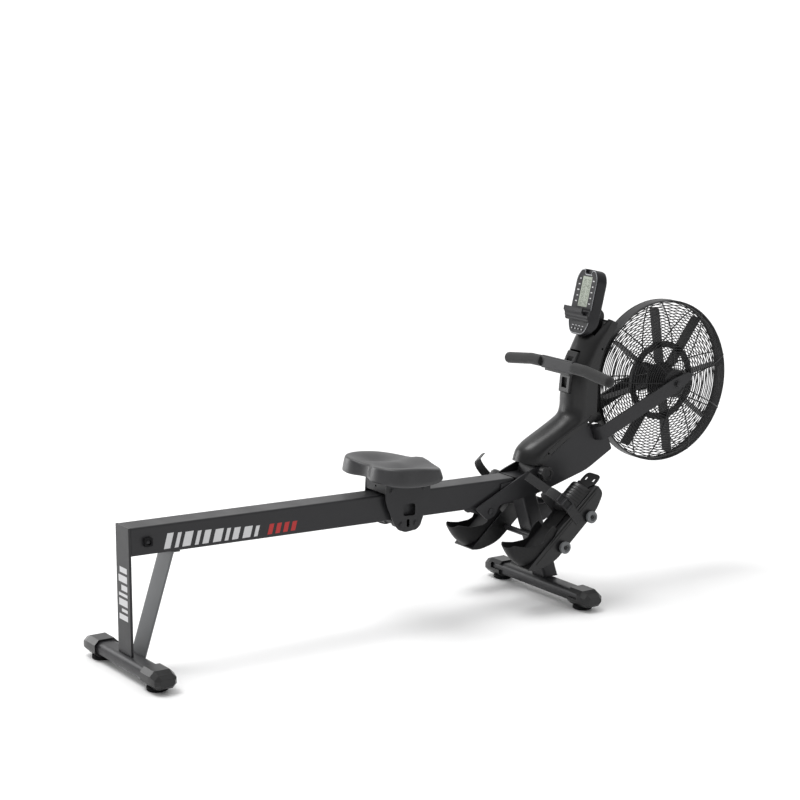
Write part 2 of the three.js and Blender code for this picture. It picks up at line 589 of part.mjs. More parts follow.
const nut = rod(FAN_X, FAN_Z, 9.5, FORK_OUTER + GAP, FORK_OUTER + 8, 6);
const spacerTube = rod(FAN_X, FAN_Z, 9, 80.5, FORK_OUTER - FORK_THICK - GAP, 12);
add("fan_axle", join(rod(FAN_X, FAN_Z, AXLE_RADIUS, -FORK_OUTER - 10, FORK_OUTER + 10), nut, mirrored(nut),
  spacerTube, mirrored(spacerTube)), STEEL);

const BLADES = 8;
const BLADE_PHASE = THREE.MathUtils.degToRad(8);
const BLADE_ROOT = 80;
const BLADE_TIP = 243;
const BLADE_NEAR = -32;
const BLADE_FAR = 14;
const FAN_PULLEY_RADIUS = 14;
const BELT_NEAR = 29;
const BELT_WIDE = 10;
function fanWheel() {
  const hub = rod(0, 0, 20, BLADE_NEAR - 8, BELT_NEAR - 3, 20);
  const disc = rod(0, 0, BLADE_ROOT + 4, -12, -8, 20);
  const ring = turned([[112, -12], [124, -12], [124, -8], [112, -8]], 0, 0, 20);
  const lip = FAN_PULLEY_RADIUS + 4;
  const beltFar = BELT_NEAR + BELT_WIDE;
  const pulley = turned([
    [8, BELT_NEAR - 3.5], [lip, BELT_NEAR - 3.5], [lip, BELT_NEAR - 1], [FAN_PULLEY_RADIUS, BELT_NEAR - 1],
    [FAN_PULLEY_RADIUS, beltFar + 1], [lip, beltFar + 1], [lip, beltFar + 3.5], [8, beltFar + 3.5]], 0, 0, 20);
  const blades = [];
  for (let i = 0; i < BLADES; i += 1) {
    const degrees = THREE.MathUtils.radToDeg(BLADE_PHASE) + (360 * i) / BLADES;
    const blade = slab(
      [[BLADE_ROOT, -1.5], [BLADE_TIP, -1.5], [BLADE_TIP, 1.5], [BLADE_ROOT, 1.5]], BLADE_NEAR, BLADE_FAR);
    blades.push(turnedAboutY(blade, -degrees));
  }
  const bore = rod(0, 0, AXLE_RADIUS + GAP, -50, 50);
  return cut(join(hub, disc, ring, pulley, ...blades), bore).translate([FAN_X, 0, FAN_Z]);
}
add("fan_wheel", fanWheel(), BLACK_PLASTIC);

const RIM_HALF = 23;
const CAGE_SEGMENTS = 24;
const RIM_INSIDE = CAGE_RADIUS - 4;
add("cage_rim",
  turned([[RIM_INSIDE, -RIM_HALF], [CAGE_RADIUS, -RIM_HALF], [CAGE_RADIUS, RIM_HALF], [RIM_INSIDE, RIM_HALF]],
    FAN_X, FAN_Z, CAGE_SEGMENTS), BLACK_PLASTIC);
const DOME = [[CAGE_RADIUS - 2, RIM_HALF + 3], [205, 56], [125, 73], [40, 78]];
const WIRE = 4;
const SPOKES = 6;
// A wire guard drawn with a few thick wires, standing for many thin ones.
function grille() {
  const thin = WIRE / 2;
  const rings = DOME.slice(0, -1).map(([r, y]) => turned(
    [[r - thin, y - thin], [r + thin, y - thin], [r + thin, y + thin], [r - thin, y + thin]],
    0, 0, CAGE_SEGMENTS));
  const plateRing = rod(0, 0, 44, 76, 79.8, 16);
  const path = [...DOME.map(([r, y]) => [r, y - 1.4]), ...DOME.toReversed().map(([r, y]) => [r, y + 1.4])];
  const shape = new THREE.Shape(path.map(([r, y]) => new THREE.Vector2(r, y)));
  const spoke = plate(shape, -thin, thin);
  const spokes = [];
  for (let i = 0; i < SPOKES; i += 1) spokes.push(turnedAboutY(spoke, 30 + (360 * i) / SPOKES));
  const bore = rod(0, 0, AXLE_RADIUS + GAP, 0, 100);
  return cut(join(...rings, plateRing, ...spokes), bore).translate([FAN_X, 0, FAN_Z]);
}
for (const [label, side] of SIDES) add(`cage_${label}`, sided(grille(), side), BLACK_PLASTIC);

// ---------------------------------------------------------------- tower cover, a hollow moulding in two halves
// Each station gives the rear middle, the rear edge and the front edge, as X and Z.
const STATIONS = [
  [[1353, 440], [1400, 430], [1412, 425]],
  [[1364, 473], [1414, 456], [1430, 442]],
  [[1386, 493], [1432, 475], [1451, 463]],
  [[1417, 510], [1454, 489], [1468, 474]],
  [[1464, 533], [1492, 510], [1502, 496]],
  [[1505, 555], [1536, 532], [1548, 519]],
  [[1530, 573], [1566, 549], [1590, 536]],
  [[1537, 596], [1580, 576], [1624, 551]],
  [[1538, 625], [1582, 606], [1626, 595]],
  [[1541, 660], [1584, 645], [1627, 643]],
  [[1546, 692], [1590, 675], [1629, 692]],
  [[1559, 734], [1601, 725], [1639, 737]],
  [[1577, 772], [1624, 770], [1653, 772]],
  [[1600, 814], [1648, 806], [1676, 808]],
  [[1634, 842], [1668, 834], [1698, 834]],
  [[1672, 868], [1684, 862], [1704, 852]],
];
const ARC_STEPS = 8;
function coverRing([rear, edge, front], halfWidth, inset, frontShift) {
  const toFront = new THREE.Vector2(edge[0] - rear[0], edge[1] - rear[1]);
  const depth = toFront.length();
  const direction = toFront.divideScalar(depth || 1);
  const along = new THREE.Vector2(front[0] - edge[0], front[1] - edge[1]).normalize();
  const ring = [[front[0] + along.x * frontShift, -halfWidth, front[1] + along.y * frontShift]];
  for (let i = 0; i <= ARC_STEPS; i += 1) {
    const angle = -Math.PI / 2 + (Math.PI * i) / ARC_STEPS;
    const reach = inset + (depth - inset) * (1 - Math.cos(angle));
    ring.push([rear[0] + direction.x * reach, halfWidth * Math.sin(angle), rear[1] + direction.y * reach]);
  }
  ring.push([front[0] + along.x * frontShift, halfWidth, front[1] + along.y * frontShift]);
  return ring;
}
const coverOuter = loft(STATIONS.map((station) => coverRing(station, COVER_HALF_WIDTH, 0, 0)));
const OPEN_STATIONS = 7; // the lower stations are open below
const innerRings = STATIONS.slice(0, 13).map((station, i) =>
  coverRing(station, COVER_HALF_WIDTH - COVER_WALL, 3.2, i < OPEN_STATIONS ? 12 : -3));
const noseOut = innerRings[0].map(([x, y, z]) => [x - 4, y, z - 16]);
const coverInner = loft([noseOut, ...innerRings]);
const scoop = slab(outline([
  [1560, 852], [1560, 822], [1618, 822, 4], [1646, 792, 14], [1668, 804, 10], [1697, 846, 6],
  [1690, 900], [1600, 900]], 3), -43, 43);
const restPocket = (grow) => [
  [1530, 638 - grow], [1556 + grow, 638 - grow], [1561 + grow, 684], [1577 + grow, 734],
  [1590 + grow, 766 + grow],
  [1560, 780 + grow], [1540, 720]];
const REST_HALF_WIDTH = 25;
const beltSlot = box(1600, 1640, BELT_NEAR - 3, BELT_NEAR + BELT_WIDE + 3, 570, 660);
const cover = cut(coverOuter, coverInner, scoop, beltSlot,
  slab(restPocket(GAP), -REST_HALF_WIDTH - GAP, REST_HALF_WIDTH + GAP));
for (const [label, side] of SIDES) {
  const half = side > 0 ? box(1300, 1760, GAP / 2, 80, 380, 920) : box(1300, 1760, -80, -GAP / 2, 380, 920);
  add(`tower_cover_${label}`, cover.intersect(half), BLACK_PLASTIC);
}

// ---------------------------------------------------------------- handle rest, pulleys, spool and belt
const restProfile = [
  [1534, 640], [1552, 640], [1556, 684], [1571, 731], [1584, 764], [1571, 768], [1553, 735], [1539, 688]];
const restBody = slab(outline(restProfile, 4), -REST_HALF_WIDTH, REST_HALF_WIDTH);
const upperWindow = box(1540, 1600, -13, 13, 734, 752);
const lowerWindow = box(1520, 1580, -13, 13, 655, 688);
const strapWindow = box(1530, 1600, -16, 16, 712, 728);
const ear = slab(outline([[1556, 700], [GUIDE_X + 7, 701], [GUIDE_X + 7, 717], [1566, 720]], 3), 15.5, 19);
const guideAxle = rod(GUIDE_X, GUIDE_Z, 3, -17, 17, 12);
const rest = join(cut(restBody, upperWindow, lowerWindow, strapWindow), ear, mirrored(ear), guideAxle);
add("handle_rest", rest, BLACK_PLASTIC);

const GUIDE_HALF = 14.5;
const GUIDE_BORE = 3.4;
const GUIDE_LIP = GUIDE_RADIUS + 3;
const GUIDE_GROOVE = GUIDE_RADIUS - 0.4;
add("guide_pulley", turned([
  [GUIDE_BORE, -GUIDE_HALF], [GUIDE_LIP, -GUIDE_HALF], [GUIDE_LIP, -GUIDE_HALF + 1.5],
  [GUIDE_GROOVE, -GUIDE_HALF + 1.5], [GUIDE_GROOVE, GUIDE_HALF - 1.5], [GUIDE_LIP, GUIDE_HALF - 1.5],
  [GUIDE_LIP, GUIDE_HALF], [GUIDE_BORE, GUIDE_HALF]], GUIDE_X, GUIDE_Z, 16), BLACK_PLASTIC);

const SHAFT_RADIUS = 5;
const SPOOL_CORE = 15;
const SPOOL_FLANGE = 27;
const SPOOL_HALF = 15;
const CLUTCH_RADIUS = 12; // one-way clutch housing between the spool and the belt pulley
const DRIVE_RADIUS = 28;
const SHAFT_HALF = 49;
const SPRING_CASE = [-43, -17]; // the strap's recoil spring, beside the spool
const springCase = rod(SPOOL_X, SPOOL_Z, SPOOL_FLANGE, ...SPRING_CASE, 16);
add("spool_shaft", join(rod(SPOOL_X, SPOOL_Z, SHAFT_RADIUS, -SHAFT_HALF, SHAFT_HALF, 10), springCase), STEEL);
add("strap_spool", turned([
  [SHAFT_RADIUS + GAP, -SPOOL_HALF], [SPOOL_FLANGE, -SPOOL_HALF], [SPOOL_FLANGE, -SPOOL_HALF + 2],
  [SPOOL_CORE, -SPOOL_HALF + 2], [SPOOL_CORE, SPOOL_HALF - 2], [SPOOL_FLANGE, SPOOL_HALF - 2],
  [SPOOL_FLANGE, SPOOL_HALF], [SHAFT_RADIUS + GAP, SPOOL_HALF]], SPOOL_X, SPOOL_Z, 16), BLACK_PLASTIC);
add("drive_pulley", turned([
  [SHAFT_RADIUS + GAP, SPOOL_HALF + 1], [CLUTCH_RADIUS, SPOOL_HALF + 1], [CLUTCH_RADIUS, BELT_NEAR - 3],
  [DRIVE_RADIUS + 3, BELT_NEAR - 3], [DRIVE_RADIUS + 3, BELT_NEAR - 1], [DRIVE_RADIUS, BELT_NEAR - 1],
  [DRIVE_RADIUS, BELT_NEAR + BELT_WIDE + 1], [SHAFT_RADIUS + GAP, BELT_NEAR + BELT_WIDE + 1]],
SPOOL_X, SPOOL_Z, 18), BLACK_PLASTIC);

// The belt: an outer loop less an inner loop, each the hull of two circles.
function beltLoop(grow) {
  const large = DRIVE_RADIUS + grow;
  const small = FAN_PULLEY_RADIUS + grow;
  const dx = FAN_X - SPOOL_X;
  const dz = FAN_Z - SPOOL_Z;
  const heading = Math.atan2(dz, dx);
  const spread = Math.acos((large - small) / Math.hypot(dx, dz));
  const points = [];
  const steps = 8;
  for (let i = 0; i <= steps; i += 1) {
    const angle = heading + spread + ((2 * Math.PI - 2 * spread) * i) / steps;
    points.push(new THREE.Vector2(SPOOL_X + large * Math.cos(angle), SPOOL_Z + large * Math.sin(angle)));
  }
  for (let i = 0; i <= steps; i += 1) {
    const angle = heading - spread + (2 * spread * i) / steps;
    points.push(new THREE.Vector2(FAN_X + small * Math.cos(angle), FAN_Z + small * Math.sin(angle)));
  }
  return new THREE.Shape(points);
}
const BELT_THICK = 3.5;
const beltOuter = slab(beltLoop(1 + BELT_THICK), BELT_NEAR, BELT_NEAR + BELT_WIDE);
const beltInner = slab(beltLoop(1), BELT_NEAR - 1, BELT_NEAR + BELT_WIDE + 1);
add("drive_belt", cut(beltOuter, beltInner), RUBBER);

// ---------------------------------------------------------------- handle: bar, foam grips and pull strap
const HANDLE_X = 1512;
const HANDLE_Z = 730.5;
const GRIP_START = 79;
const GRIP_END = 267;
const GRIP_DROP = 17;
const GRIP_RADIUS = 18;
const BAR_RADIUS = 11;
const GRIP_BEND = 138; // the grip droops gently up to here, then more steeply
const FIRST_DROOP = 0.02;
const droopAtBend = FIRST_DROOP * (GRIP_BEND - GRIP_START);
const droop = (y) => (y < GRIP_BEND
  ? FIRST_DROOP * Math.max(0, y - GRIP_START)
  : droopAtBend + (GRIP_DROP - droopAtBend) * ((y - GRIP_BEND) / (GRIP_END - GRIP_BEND)));
const gripPoints = (from, to) =>
  [from, (from + GRIP_BEND) / 2, GRIP_BEND - 8, GRIP_BEND + 8, (GRIP_BEND + to) / 2, to].map(
    (y) => new THREE.Vector3(HANDLE_X, y, HANDLE_Z - droop(y)));
function tubeAlong(points, radius, hole, steps) {
  const shape = new THREE.Shape();
  shape.absarc(0, 0, radius, 0, 2 * Math.PI);
  if (hole) {
    const opening = new THREE.Path();
    opening.absarc(0, 0, hole, 0, 2 * Math.PI, true);
    shape.holes.push(opening);
  }
  const curve = new THREE.CatmullRomCurve3(points);
  const options = { steps, extrudePath: curve, bevelEnabled: false, curveSegments: 5 };
  return solid(new THREE.ExtrudeGeometry(shape, options));
}
const centrePlate = slab(outline([
  [HANDLE_X - 7, HANDLE_Z - 20], [HANDLE_X + 6, HANDLE_Z - 20], [HANDLE_X + 6, HANDLE_Z + 20],
  [HANDLE_X - 7, HANDLE_Z + 20]], 3), -GRIP_START + 3, GRIP_START - 3);
const gripBar = tubeAlong(gripPoints(GRIP_START - 10, GRIP_END - 6), BAR_RADIUS, 0, 7);
const CLIP_Z = 720;
const clip = join(box(HANDLE_X - 5, HANDLE_X + 5, -62, 62, HANDLE_Z - 26, HANDLE_Z - 18),
  box(HANDLE_X - 4, HANDLE_X + 15, -16, 16, CLIP_Z - 4, CLIP_Z + 4));
const strapPocket = box(HANDLE_X + 4, HANDLE_X + 20, -14, 14,
  CLIP_Z - STRAP_THICK / 2 - GAP, CLIP_Z + STRAP_THICK / 2 + GAP);
add("handle_bar", cut(join(centrePlate, gripBar, mirrored(gripBar), clip), strapPocket), FRAME_PAINT);
const grip = tubeAlong(gripPoints(GRIP_START, GRIP_END), GRIP_RADIUS, BAR_RADIUS + GAP + 0.9, 7);
for (const [label, side] of SIDES) add(`handle_grip_${label}`, sided(grip, side), FOAM);

const strapRun = [[HANDLE_X + 5, CLIP_Z], [GUIDE_X, CLIP_Z + 0.6]];
for (let i = 1; i <= 4; i += 1) {
  const angle = Math.PI / 2 - (Math.PI / 2) * (i / 4);
  const reach = GUIDE_RADIUS + 1;
  strapRun.push([GUIDE_X + reach * Math.cos(angle), GUIDE_Z + reach * Math.sin(angle)]);
}
strapRun.push([SPOOL_X + SPOOL_CORE + 2, SPOOL_Z + 2], [SPOOL_X + SPOOL_CORE + 2, SPOOL_Z - 6]);
function strapProfile(points, thick) {
  const one = [];
  const two = [];
  points.forEach(([x, z], i) => {
    const [ax, az] = points[Math.max(i - 1, 0)];
    const [bx, bz] = points[Math.min(i + 1, points.length - 1)];
    const length = Math.hypot(bx - ax, bz - az);
    const offset = [(-(bz - az) / length) * (thick / 2), ((bx - ax) / length) * (thick / 2)];
    one.push([x + offset[0], z + offset[1]]);
    two.unshift([x - offset[0], z - offset[1]]);
  });
  return [...one, ...two];
}
add("pull_strap", slab(strapProfile(strapRun, STRAP_THICK), -12, 12), WEBBING);

// ---------------------------------------------------------------- console on its tilting bracket
const consoleGroup = new THREE.Group();
consoleGroup.position.set(CONSOLE_X, 0, CONSOLE_Z);
consoleGroup.rotation.y = CONSOLE_TILT;
machine.add(consoleGroup);
// In the console's own frame X is depth behind the face, Z runs up the face.
const CASE_DEPTH = 43;
const CASE_TOP = 132;
const CASE_BOTTOM = -76;
const CASE_HALF = 52;
function facePlate(corners, x0, x1, radius, curveSegments = 2) {
  const shape = outline(corners, radius);
  const geometry = new THREE.ExtrudeGeometry(shape, { depth: x1 - x0, bevelEnabled: false, curveSegments });
  // The drawing's axes are Y and Z.
  geometry.applyMatrix4(new THREE.Matrix4().set(0, 0, 1, x0, 1, 0, 0, 0, 0, 1, 0, 0, 0, 0, 0, 1));
  return solid(geometry);
}
const caseCorners = (half, top, bottom) => [
  [-half * 0.62, bottom], [half * 0.62, bottom], [half, bottom + 34, 40], [half, top - 26, 40],
  [half * 0.66, top], [-half * 0.66, top], [-half, top - 26, 40], [-half, bottom + 34, 40]];
const caseOuter = facePlate(caseCorners(CASE_HALF, CASE_TOP, CASE_BOTTOM), 0, CASE_DEPTH, 16);
const caseInner = facePlate(caseCorners(CASE_HALF - 3, CASE_TOP - 3, CASE_BOTTOM + 3), 3, CASE_DEPTH - 3, 14);
const cableHole = box(CASE_DEPTH - 18, CASE_DEPTH - 2, -6, 6, -60, -50); // for the lead to the fan's sensor
const SCREEN_BOTTOM = 14;
const SCREEN_TOP = 108;
const screenPocket = box(-1, 2, -22.3, 22.3, SCREEN_BOTTOM - GAP, SCREEN_TOP + GAP);
const BUTTON_Z = -58;
const BUTTON_Y = [24, 8, -8, -24];
const buttonCorners = (y, grow) => [
  [y - 6 - grow, BUTTON_Z - 4 - grow], [y + 6 + grow, BUTTON_Z - 4 - grow],
  [y + 6 + grow, BUTTON_Z + 4 + grow], [y - 6 - grow, BUTTON_Z + 4 + grow]];
const buttonHoles = BUTTON_Y.map((y) => facePlate(buttonCorners(y, GAP), -1, 4, 2));
const HINGE_EAR_X = CASE_DEPTH + 14;
const EAR_Z = -30;
const earPlate = slab(outline([
  [CASE_DEPTH - 1, 12], [CASE_DEPTH + 12, 12], [HINGE_EAR_X + 9, EAR_Z + 8, 6],
  [HINGE_EAR_X + 8, EAR_Z - 9, 6], [CASE_DEPTH - 1, EAR_Z - 4]], 3), 17, 22);
const backPlate = box(CASE_DEPTH - 1, CASE_DEPTH + 2, -22, 22, EAR_Z - 4, 12);
// The lower back slopes in, to clear the tower when the console tilts.
const backSlope = (inset) => slab([
  [17 - inset, CASE_BOTTOM - 4], [44 - inset * 0.6, -34], [CASE_DEPTH + 9, -20],
  [CASE_DEPTH + 9, CASE_BOTTOM - 4]], -CASE_HALF - 5, CASE_HALF + 5);
const caseShell = cut(cut(caseOuter, backSlope(0)), cut(caseInner, backSlope(3.4)));
const consoleShell = cut(caseShell, cableHole, screenPocket, ...buttonHoles);
const earPin = rod(HINGE_EAR_X, EAR_Z, 4, -21, 21, 12);
const consoleBody = join(consoleShell, earPlate, mirrored(earPlate), backPlate, earPin);
add("console_case", consoleBody, BLACK_PLASTIC, consoleGroup);
add("console_screen", box(0.4, 2 - GAP, -22, 22, SCREEN_BOTTOM, SCREEN_TOP), SCREEN, consoleGroup);
const shelfProfile = outline([
  [-GAP, 4], [-GAP, -34], [-8, -34], [-13, -28], [-16, -12], [-24, -6], [-24, 8], [-19, 8], [-19, -2],
  [-10, -2], [-6, 4]], 2);
add("device_shelf", slab(shelfProfile, -CASE_HALF - 5, CASE_HALF + 5, 2), BLACK_PLASTIC, consoleGroup);
["button_reset", "button_mode", "button_set", "button_recovery"].forEach((name, i) => {
  add(name, facePlate(buttonCorners(BUTTON_Y[i], 0), -2, 5, 2), RUBBER, consoleGroup);
});

// The neck stands in the tower's scoop and holds the console's hinge pin.
const local = (x, z) => [
  CONSOLE_X + x * Math.cos(CONSOLE_TILT) + z * Math.sin(CONSOLE_TILT),
  CONSOLE_Z - x * Math.sin(CONSOLE_TILT) + z * Math.cos(CONSOLE_TILT)];
const [pinX, pinZ] = local(HINGE_EAR_X, EAR_Z);
const neckProfile = outline([
  [1637, 802.6, 1], [1647, 796.9, 4], [1659, 799.6, 1], [1664, 812], [1673, 842], [1682, 868],
  local(81, 8), local(63, 19), local(49, -22), local(49, -38), [1631, 814, 2]], 6);
const neckBore = rod(pinX, pinZ, 4 + GAP, -30, 30, 10);
add("console_neck", cut(slab(neckProfile, -16.5, 16.5), neckBore), BLACK_PLASTIC);

// ---------------------------------------------------------------- seat: carriage, rollers and pad
const ROLLER_RADIUS = 12;
const AXLE_HOLE = 4.3;
const CARRIAGE_HALF = 57;
const seatSideProfile = outline([
  [831, 449], [990, 445], [990, 371], [968, 343], [953, 305], [939, 294], [899, 291], [874, 301],
  [860, 319], [835, 375], [828, 400]], 6);
const seatWindow = outline([[892, 341], [935, 339], [935, 376], [892, 378]], 8);
const seatSlot = outline([[904, 306], [914, 306], [914, 330], [904, 330]], 4);
const seatSide = cut(slab(seatSideProfile, CARRIAGE_HALF - 3, CARRIAGE_HALF),
  slab(seatWindow, 50, 60), slab(seatSlot, 50, 60));
const PAD_X = 890; // middle of the pad
const PAD_HALF_DEPTH = 121;
const PAD_HALF_WIDTH = 157;
const ramp = (value, from, to) => {
  const t = Math.min(1, Math.max(0, (value - from) / (to - from)));
  return t * t * (3 - 2 * t);
};
const PAD_UNDER = 461; // height of the pad's flat underside at its middle
const PAD_FALL = 0.017; // it falls towards the fan by this much per mm
const SIDE_DROOP = 11; // the edges beside the thighs hang lower
const padUnder = (x, y) => PAD_UNDER - PAD_FALL * (x - PAD_X)
  - SIDE_DROOP * ramp(Math.abs(y), 80, 150) * (1 - ((x - PAD_X) / PAD_HALF_DEPTH) ** 2);
const seatTop = slab([[831, 449], [831, 445], [990, 441], [990, 445]], -CARRIAGE_HALF, CARRIAGE_HALF);
const flange = (x) => slab([
  [x, 416], [x + 4, 416], [x + 4, padUnder(x + 4, 0) - GAP], [x, padUnder(x, 0) - GAP]],
  -CARRIAGE_HALF + 3, CARRIAGE_HALF - 3);
const flangeHole = new THREE.CylinderGeometry(4, 4, 20, 10).rotateZ(Math.PI / 2).translate(833, 0, 432);
const ROLLERS = [
  ["roller_upper_rear", 852, railTop(852) + ROLLER_RADIUS + 0.1],
  ["roller_upper_front", 968, railTop(968) + ROLLER_RADIUS + 0.1],
  ["roller_lower_rear", 884, railBottom(884) - ROLLER_RADIUS - 0.1],
  ["roller_lower_front", 936, railBottom(936) - ROLLER_RADIUS - 0.1],
];
const rollerAxles = ROLLERS.map(([, x, z]) => rod(x, z, 4, -CARRIAGE_HALF - 2, CARRIAGE_HALF + 2, 8));
const carriageShell = join(seatSide, mirrored(seatSide), seatTop, flange(831), flange(984));
add("seat_carriage", join(cut(carriageShell, solid(flangeHole)), ...rollerAxles), FRAME_PAINT);
for (const [name, x, z] of ROLLERS) {
  const wheel = rod(x, z, ROLLER_RADIUS, 20, 36, 14);
  const sleeve = rod(x, z, 7, -20, 20, 10);
  add(name, cut(join(wheel, mirrored(wheel), sleeve), rod(x, z, AXLE_HOLE, -60, 60, 12)), RUBBER);
}

// The pad: two lobes with a notch between them at the back and a raised middle at the front.
const PAD_POINTS = 32;
const PAD_CORNER = 0.62; // how square the pad is in plan
const PAD_WELL = 12; // how far the seat dips inside its rim
const RIM_HEIGHT = 510;
const RIM_FALL = 21.6; // the rim falls towards the thighs,
const FRONT_RISE = 13; // rises again between them,
const BACK_DIP = 15; // and dips at the notch behind
const bell = (y, width) => Math.exp(-((y / width) ** 2));
const padRim = (x, y) => RIM_HEIGHT - RIM_FALL * ramp(x, 700, 1060) ** 2
  + FRONT_RISE * bell(y, 46) * ramp(x, 920, 990) - BACK_DIP * bell(y, 40) * ramp(-x, -840, -790);
function padRing(scale, rise, drop = 0) {
  const ring = [];
  for (let i = 0; i < PAD_POINTS; i += 1) {
    const angle = (2 * Math.PI * i) / PAD_POINTS;
    const [c, s] = [Math.cos(angle), Math.sin(angle)];
    const y = PAD_HALF_WIDTH * scale * Math.sign(s) * Math.abs(s) ** PAD_CORNER;
    const notch = (c < 0 ? 28 : 0) * bell(y, 42);
    const x = PAD_X + (PAD_HALF_DEPTH * scale - notch) * Math.sign(c) * Math.abs(c) ** PAD_CORNER;
    const low = padUnder(x, y);
    ring.push([x, y, low + (padRim(x, y) - low) * rise - drop]);
  }
  return ring;
}
const padRings = [padRing(0.5, 0), padRing(0.97, 0), padRing(1, 0.12), padRing(0.93, 0.9), padRing(0.87, 1)];
add("seat_pad", loft([...padRings, padRing(0.6, 1, PAD_WELL)]), RUBBER);

export default machine;
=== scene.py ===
import math

import bmesh
import bpy
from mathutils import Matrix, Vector


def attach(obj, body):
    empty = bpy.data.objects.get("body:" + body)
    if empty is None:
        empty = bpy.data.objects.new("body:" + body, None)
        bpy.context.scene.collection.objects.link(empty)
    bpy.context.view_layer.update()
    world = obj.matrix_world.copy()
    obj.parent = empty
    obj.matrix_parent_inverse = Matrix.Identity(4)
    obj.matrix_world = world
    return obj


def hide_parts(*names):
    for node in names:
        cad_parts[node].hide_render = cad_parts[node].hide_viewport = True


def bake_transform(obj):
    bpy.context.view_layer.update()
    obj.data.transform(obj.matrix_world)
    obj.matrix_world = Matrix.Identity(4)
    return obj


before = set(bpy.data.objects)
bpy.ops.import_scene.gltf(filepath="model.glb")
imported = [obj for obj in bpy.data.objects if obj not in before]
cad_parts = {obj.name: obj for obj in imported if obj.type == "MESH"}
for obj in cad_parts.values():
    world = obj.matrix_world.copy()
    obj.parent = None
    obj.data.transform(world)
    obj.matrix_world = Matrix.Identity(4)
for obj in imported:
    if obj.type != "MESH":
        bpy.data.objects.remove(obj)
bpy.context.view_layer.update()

SIDES = (("left", 1), ("right", -1))

# ---- driving dimensions
MM = 0.001
ORIGIN_X = 1074.5
FAN = (1925, 638.5)
HINGE = (1219, 309)
KNOB = (1409, 410)
SPOOL = (1590, 605)
GUIDE = (1583, 709)
STRAP_TURN = 12  # the strap's radius round the guide pulley
PEDAL = (1279, 170)
PEDAL_MIDDLE = 147.5
INCLINE = math.radians(40.6)
HANDLE = (1512, 730.5)
CONSOLE = (1599, 894)
CONSOLE_TILT = math.radians(14.1)
COVER_HALF = 56
RAIL_FALL = 0.0223


def rail_top(x):
    return 430 - RAIL_FALL * x


def place(x, y, z):
    return Vector(((x - ORIGIN_X) * MM, y * MM, z * MM))


# ---- shapes: lists of points and faces
def laid(axis, a, b, c):
    """A point with c on the named axis, and a and b on the other two in order."""
    return {"x": (c, a, b), "y": (a, c, b), "z": (a, b, c)}[axis]


def merged(*shapes):
    points = []
    faces = []
    for some_points, some_faces in shapes:
        start = len(points)
        points += some_points
        faces += [[start + i for i in face] for face in some_faces]
    return points, faces


def mirrored(shape):
    return [(x, -y, z) for x, y, z in shape[0]], [face[::-1] for face in shape[1]]


def sided(shape, side):
    return shape if side > 0 else mirrored(shape)


def both(shape):
    return merged(shape, mirrored(shape))


def on_board(shape, side, across=0):
    """A shape drawn on the left foot board, put on one side: x along the board, z square to it."""
    c = math.cos(INCLINE)
    s = math.sin(INCLINE)
    points = [(PEDAL[0] + x * c - z * s, y + across, PEDAL[1] + x * s + z * c) for x, y, z in shape[0]]
    return sided((points, shape[1]), side)


def console_point(x, z):
    c = math.cos(CONSOLE_TILT)
    s = math.sin(CONSOLE_TILT)
    return CONSOLE[0] + x * c + z * s, CONSOLE[1] - x * s + z * c


def on_console(shape):
    """Shapes drawn on the console: x is depth behind its face, z runs up the face."""
    return [laid("y", *console_point(x, z), y) for x, y, z in shape[0]], shape[1]


def circle(centre, radius, count, turn=0.0):
    angles = [turn + 2 * math.pi * k / count for k in range(count)]
    return [(centre[0] + radius * math.cos(a), centre[1] + radius * math.sin(a)) for a in angles]


def rounded(points, radius=0, steps=6):
    """A closed outline with its corners rounded; a corner may hold its own radius as a third number."""
    result = []
    count = len(points)
    for i, point in enumerate(points):
        corner = Vector(point[:2])
        before = Vector(points[i - 1][:2]) - corner
        after = Vector(points[(i + 1) % count][:2]) - corner
        wanted = point[2] if len(point) > 2 else radius
        reach = min(wanted, before.length * 0.49, after.length * 0.49)
        if reach <= 0:
            result.append(tuple(corner))
            continue
        start = corner + before.normalized() * reach
        end = corner + after.normalized() * reach
        for k in range(steps + 1):
            t = k / steps
            result.append(tuple(start * (1 - t) ** 2 + corner * 2 * t * (1 - t) + end * t * t))
    return result


def rectangle(a0, a1, b0, b1):
    return [(a0, b0), (a1, b0), (a1, b1), (a0, b1)]


def mirrored_outline(half):
    """A closed outline from its right half drawn upwards; it starts at the lower left corner."""
    flipped = [(-point[0], *point[1:]) for point in reversed(half)]
    return flipped[-1:] + half + flipped[:-1]


def extruded(outline, low, high, axis="y"):
    """A closed outline pulled along an axis; the outline's own axes are the other two in order."""
    count = len(outline)
    points = [laid(axis, *point, level) for level in (low, high) for point in outline]
    faces = [list(range(count)), list(range(2 * count - 1, count - 1, -1))]
    faces += [[i, (i + 1) % count, count + (i + 1) % count, count + i] for i in range(count)]
    return points, faces


def block(x0, x1, y0, y1, z0, z1):
    return extruded(rectangle(x0, x1, z0, z1), y0, y1)


def lofted(rings, capped=True):
    """A skin through rings that have the same number of points."""
    count = len(rings[0])
    last = (len(rings) - 1) * count
    points = [point for ring in rings for point in ring]
    faces = []
    for start in range(0, last, count):
        for i in range(count):
            a = start + i
            b = start + (i + 1) % count
            faces.append([a, b, b + count, a + count])
    if capped:
        faces.append(list(range(count))[::-1])
        faces.append([last + i for i in range(count)])
    return points, faces


def looped(rings):
    """A skin through rings, closed from the last one back to the first."""
    return lofted(rings + rings[:1], capped=False)


def lathed(profile, centre, segments, axis="y", loop=False):
    """A profile of (radius, distance along the axis) turned about it; a loop closes on itself."""
    rings = []
    for radius, along in profile:
        ring = circle(centre, max(radius, 0.001), segments)
        rings.append([laid(axis, a, b, along) for a, b in ring])
    return looped(rings) if loop else lofted(rings)


def rod(radius, low, high, centre, segments):
    return lathed([(0, low), (radius, low), (radius, high), (0, high)], centre, segments)


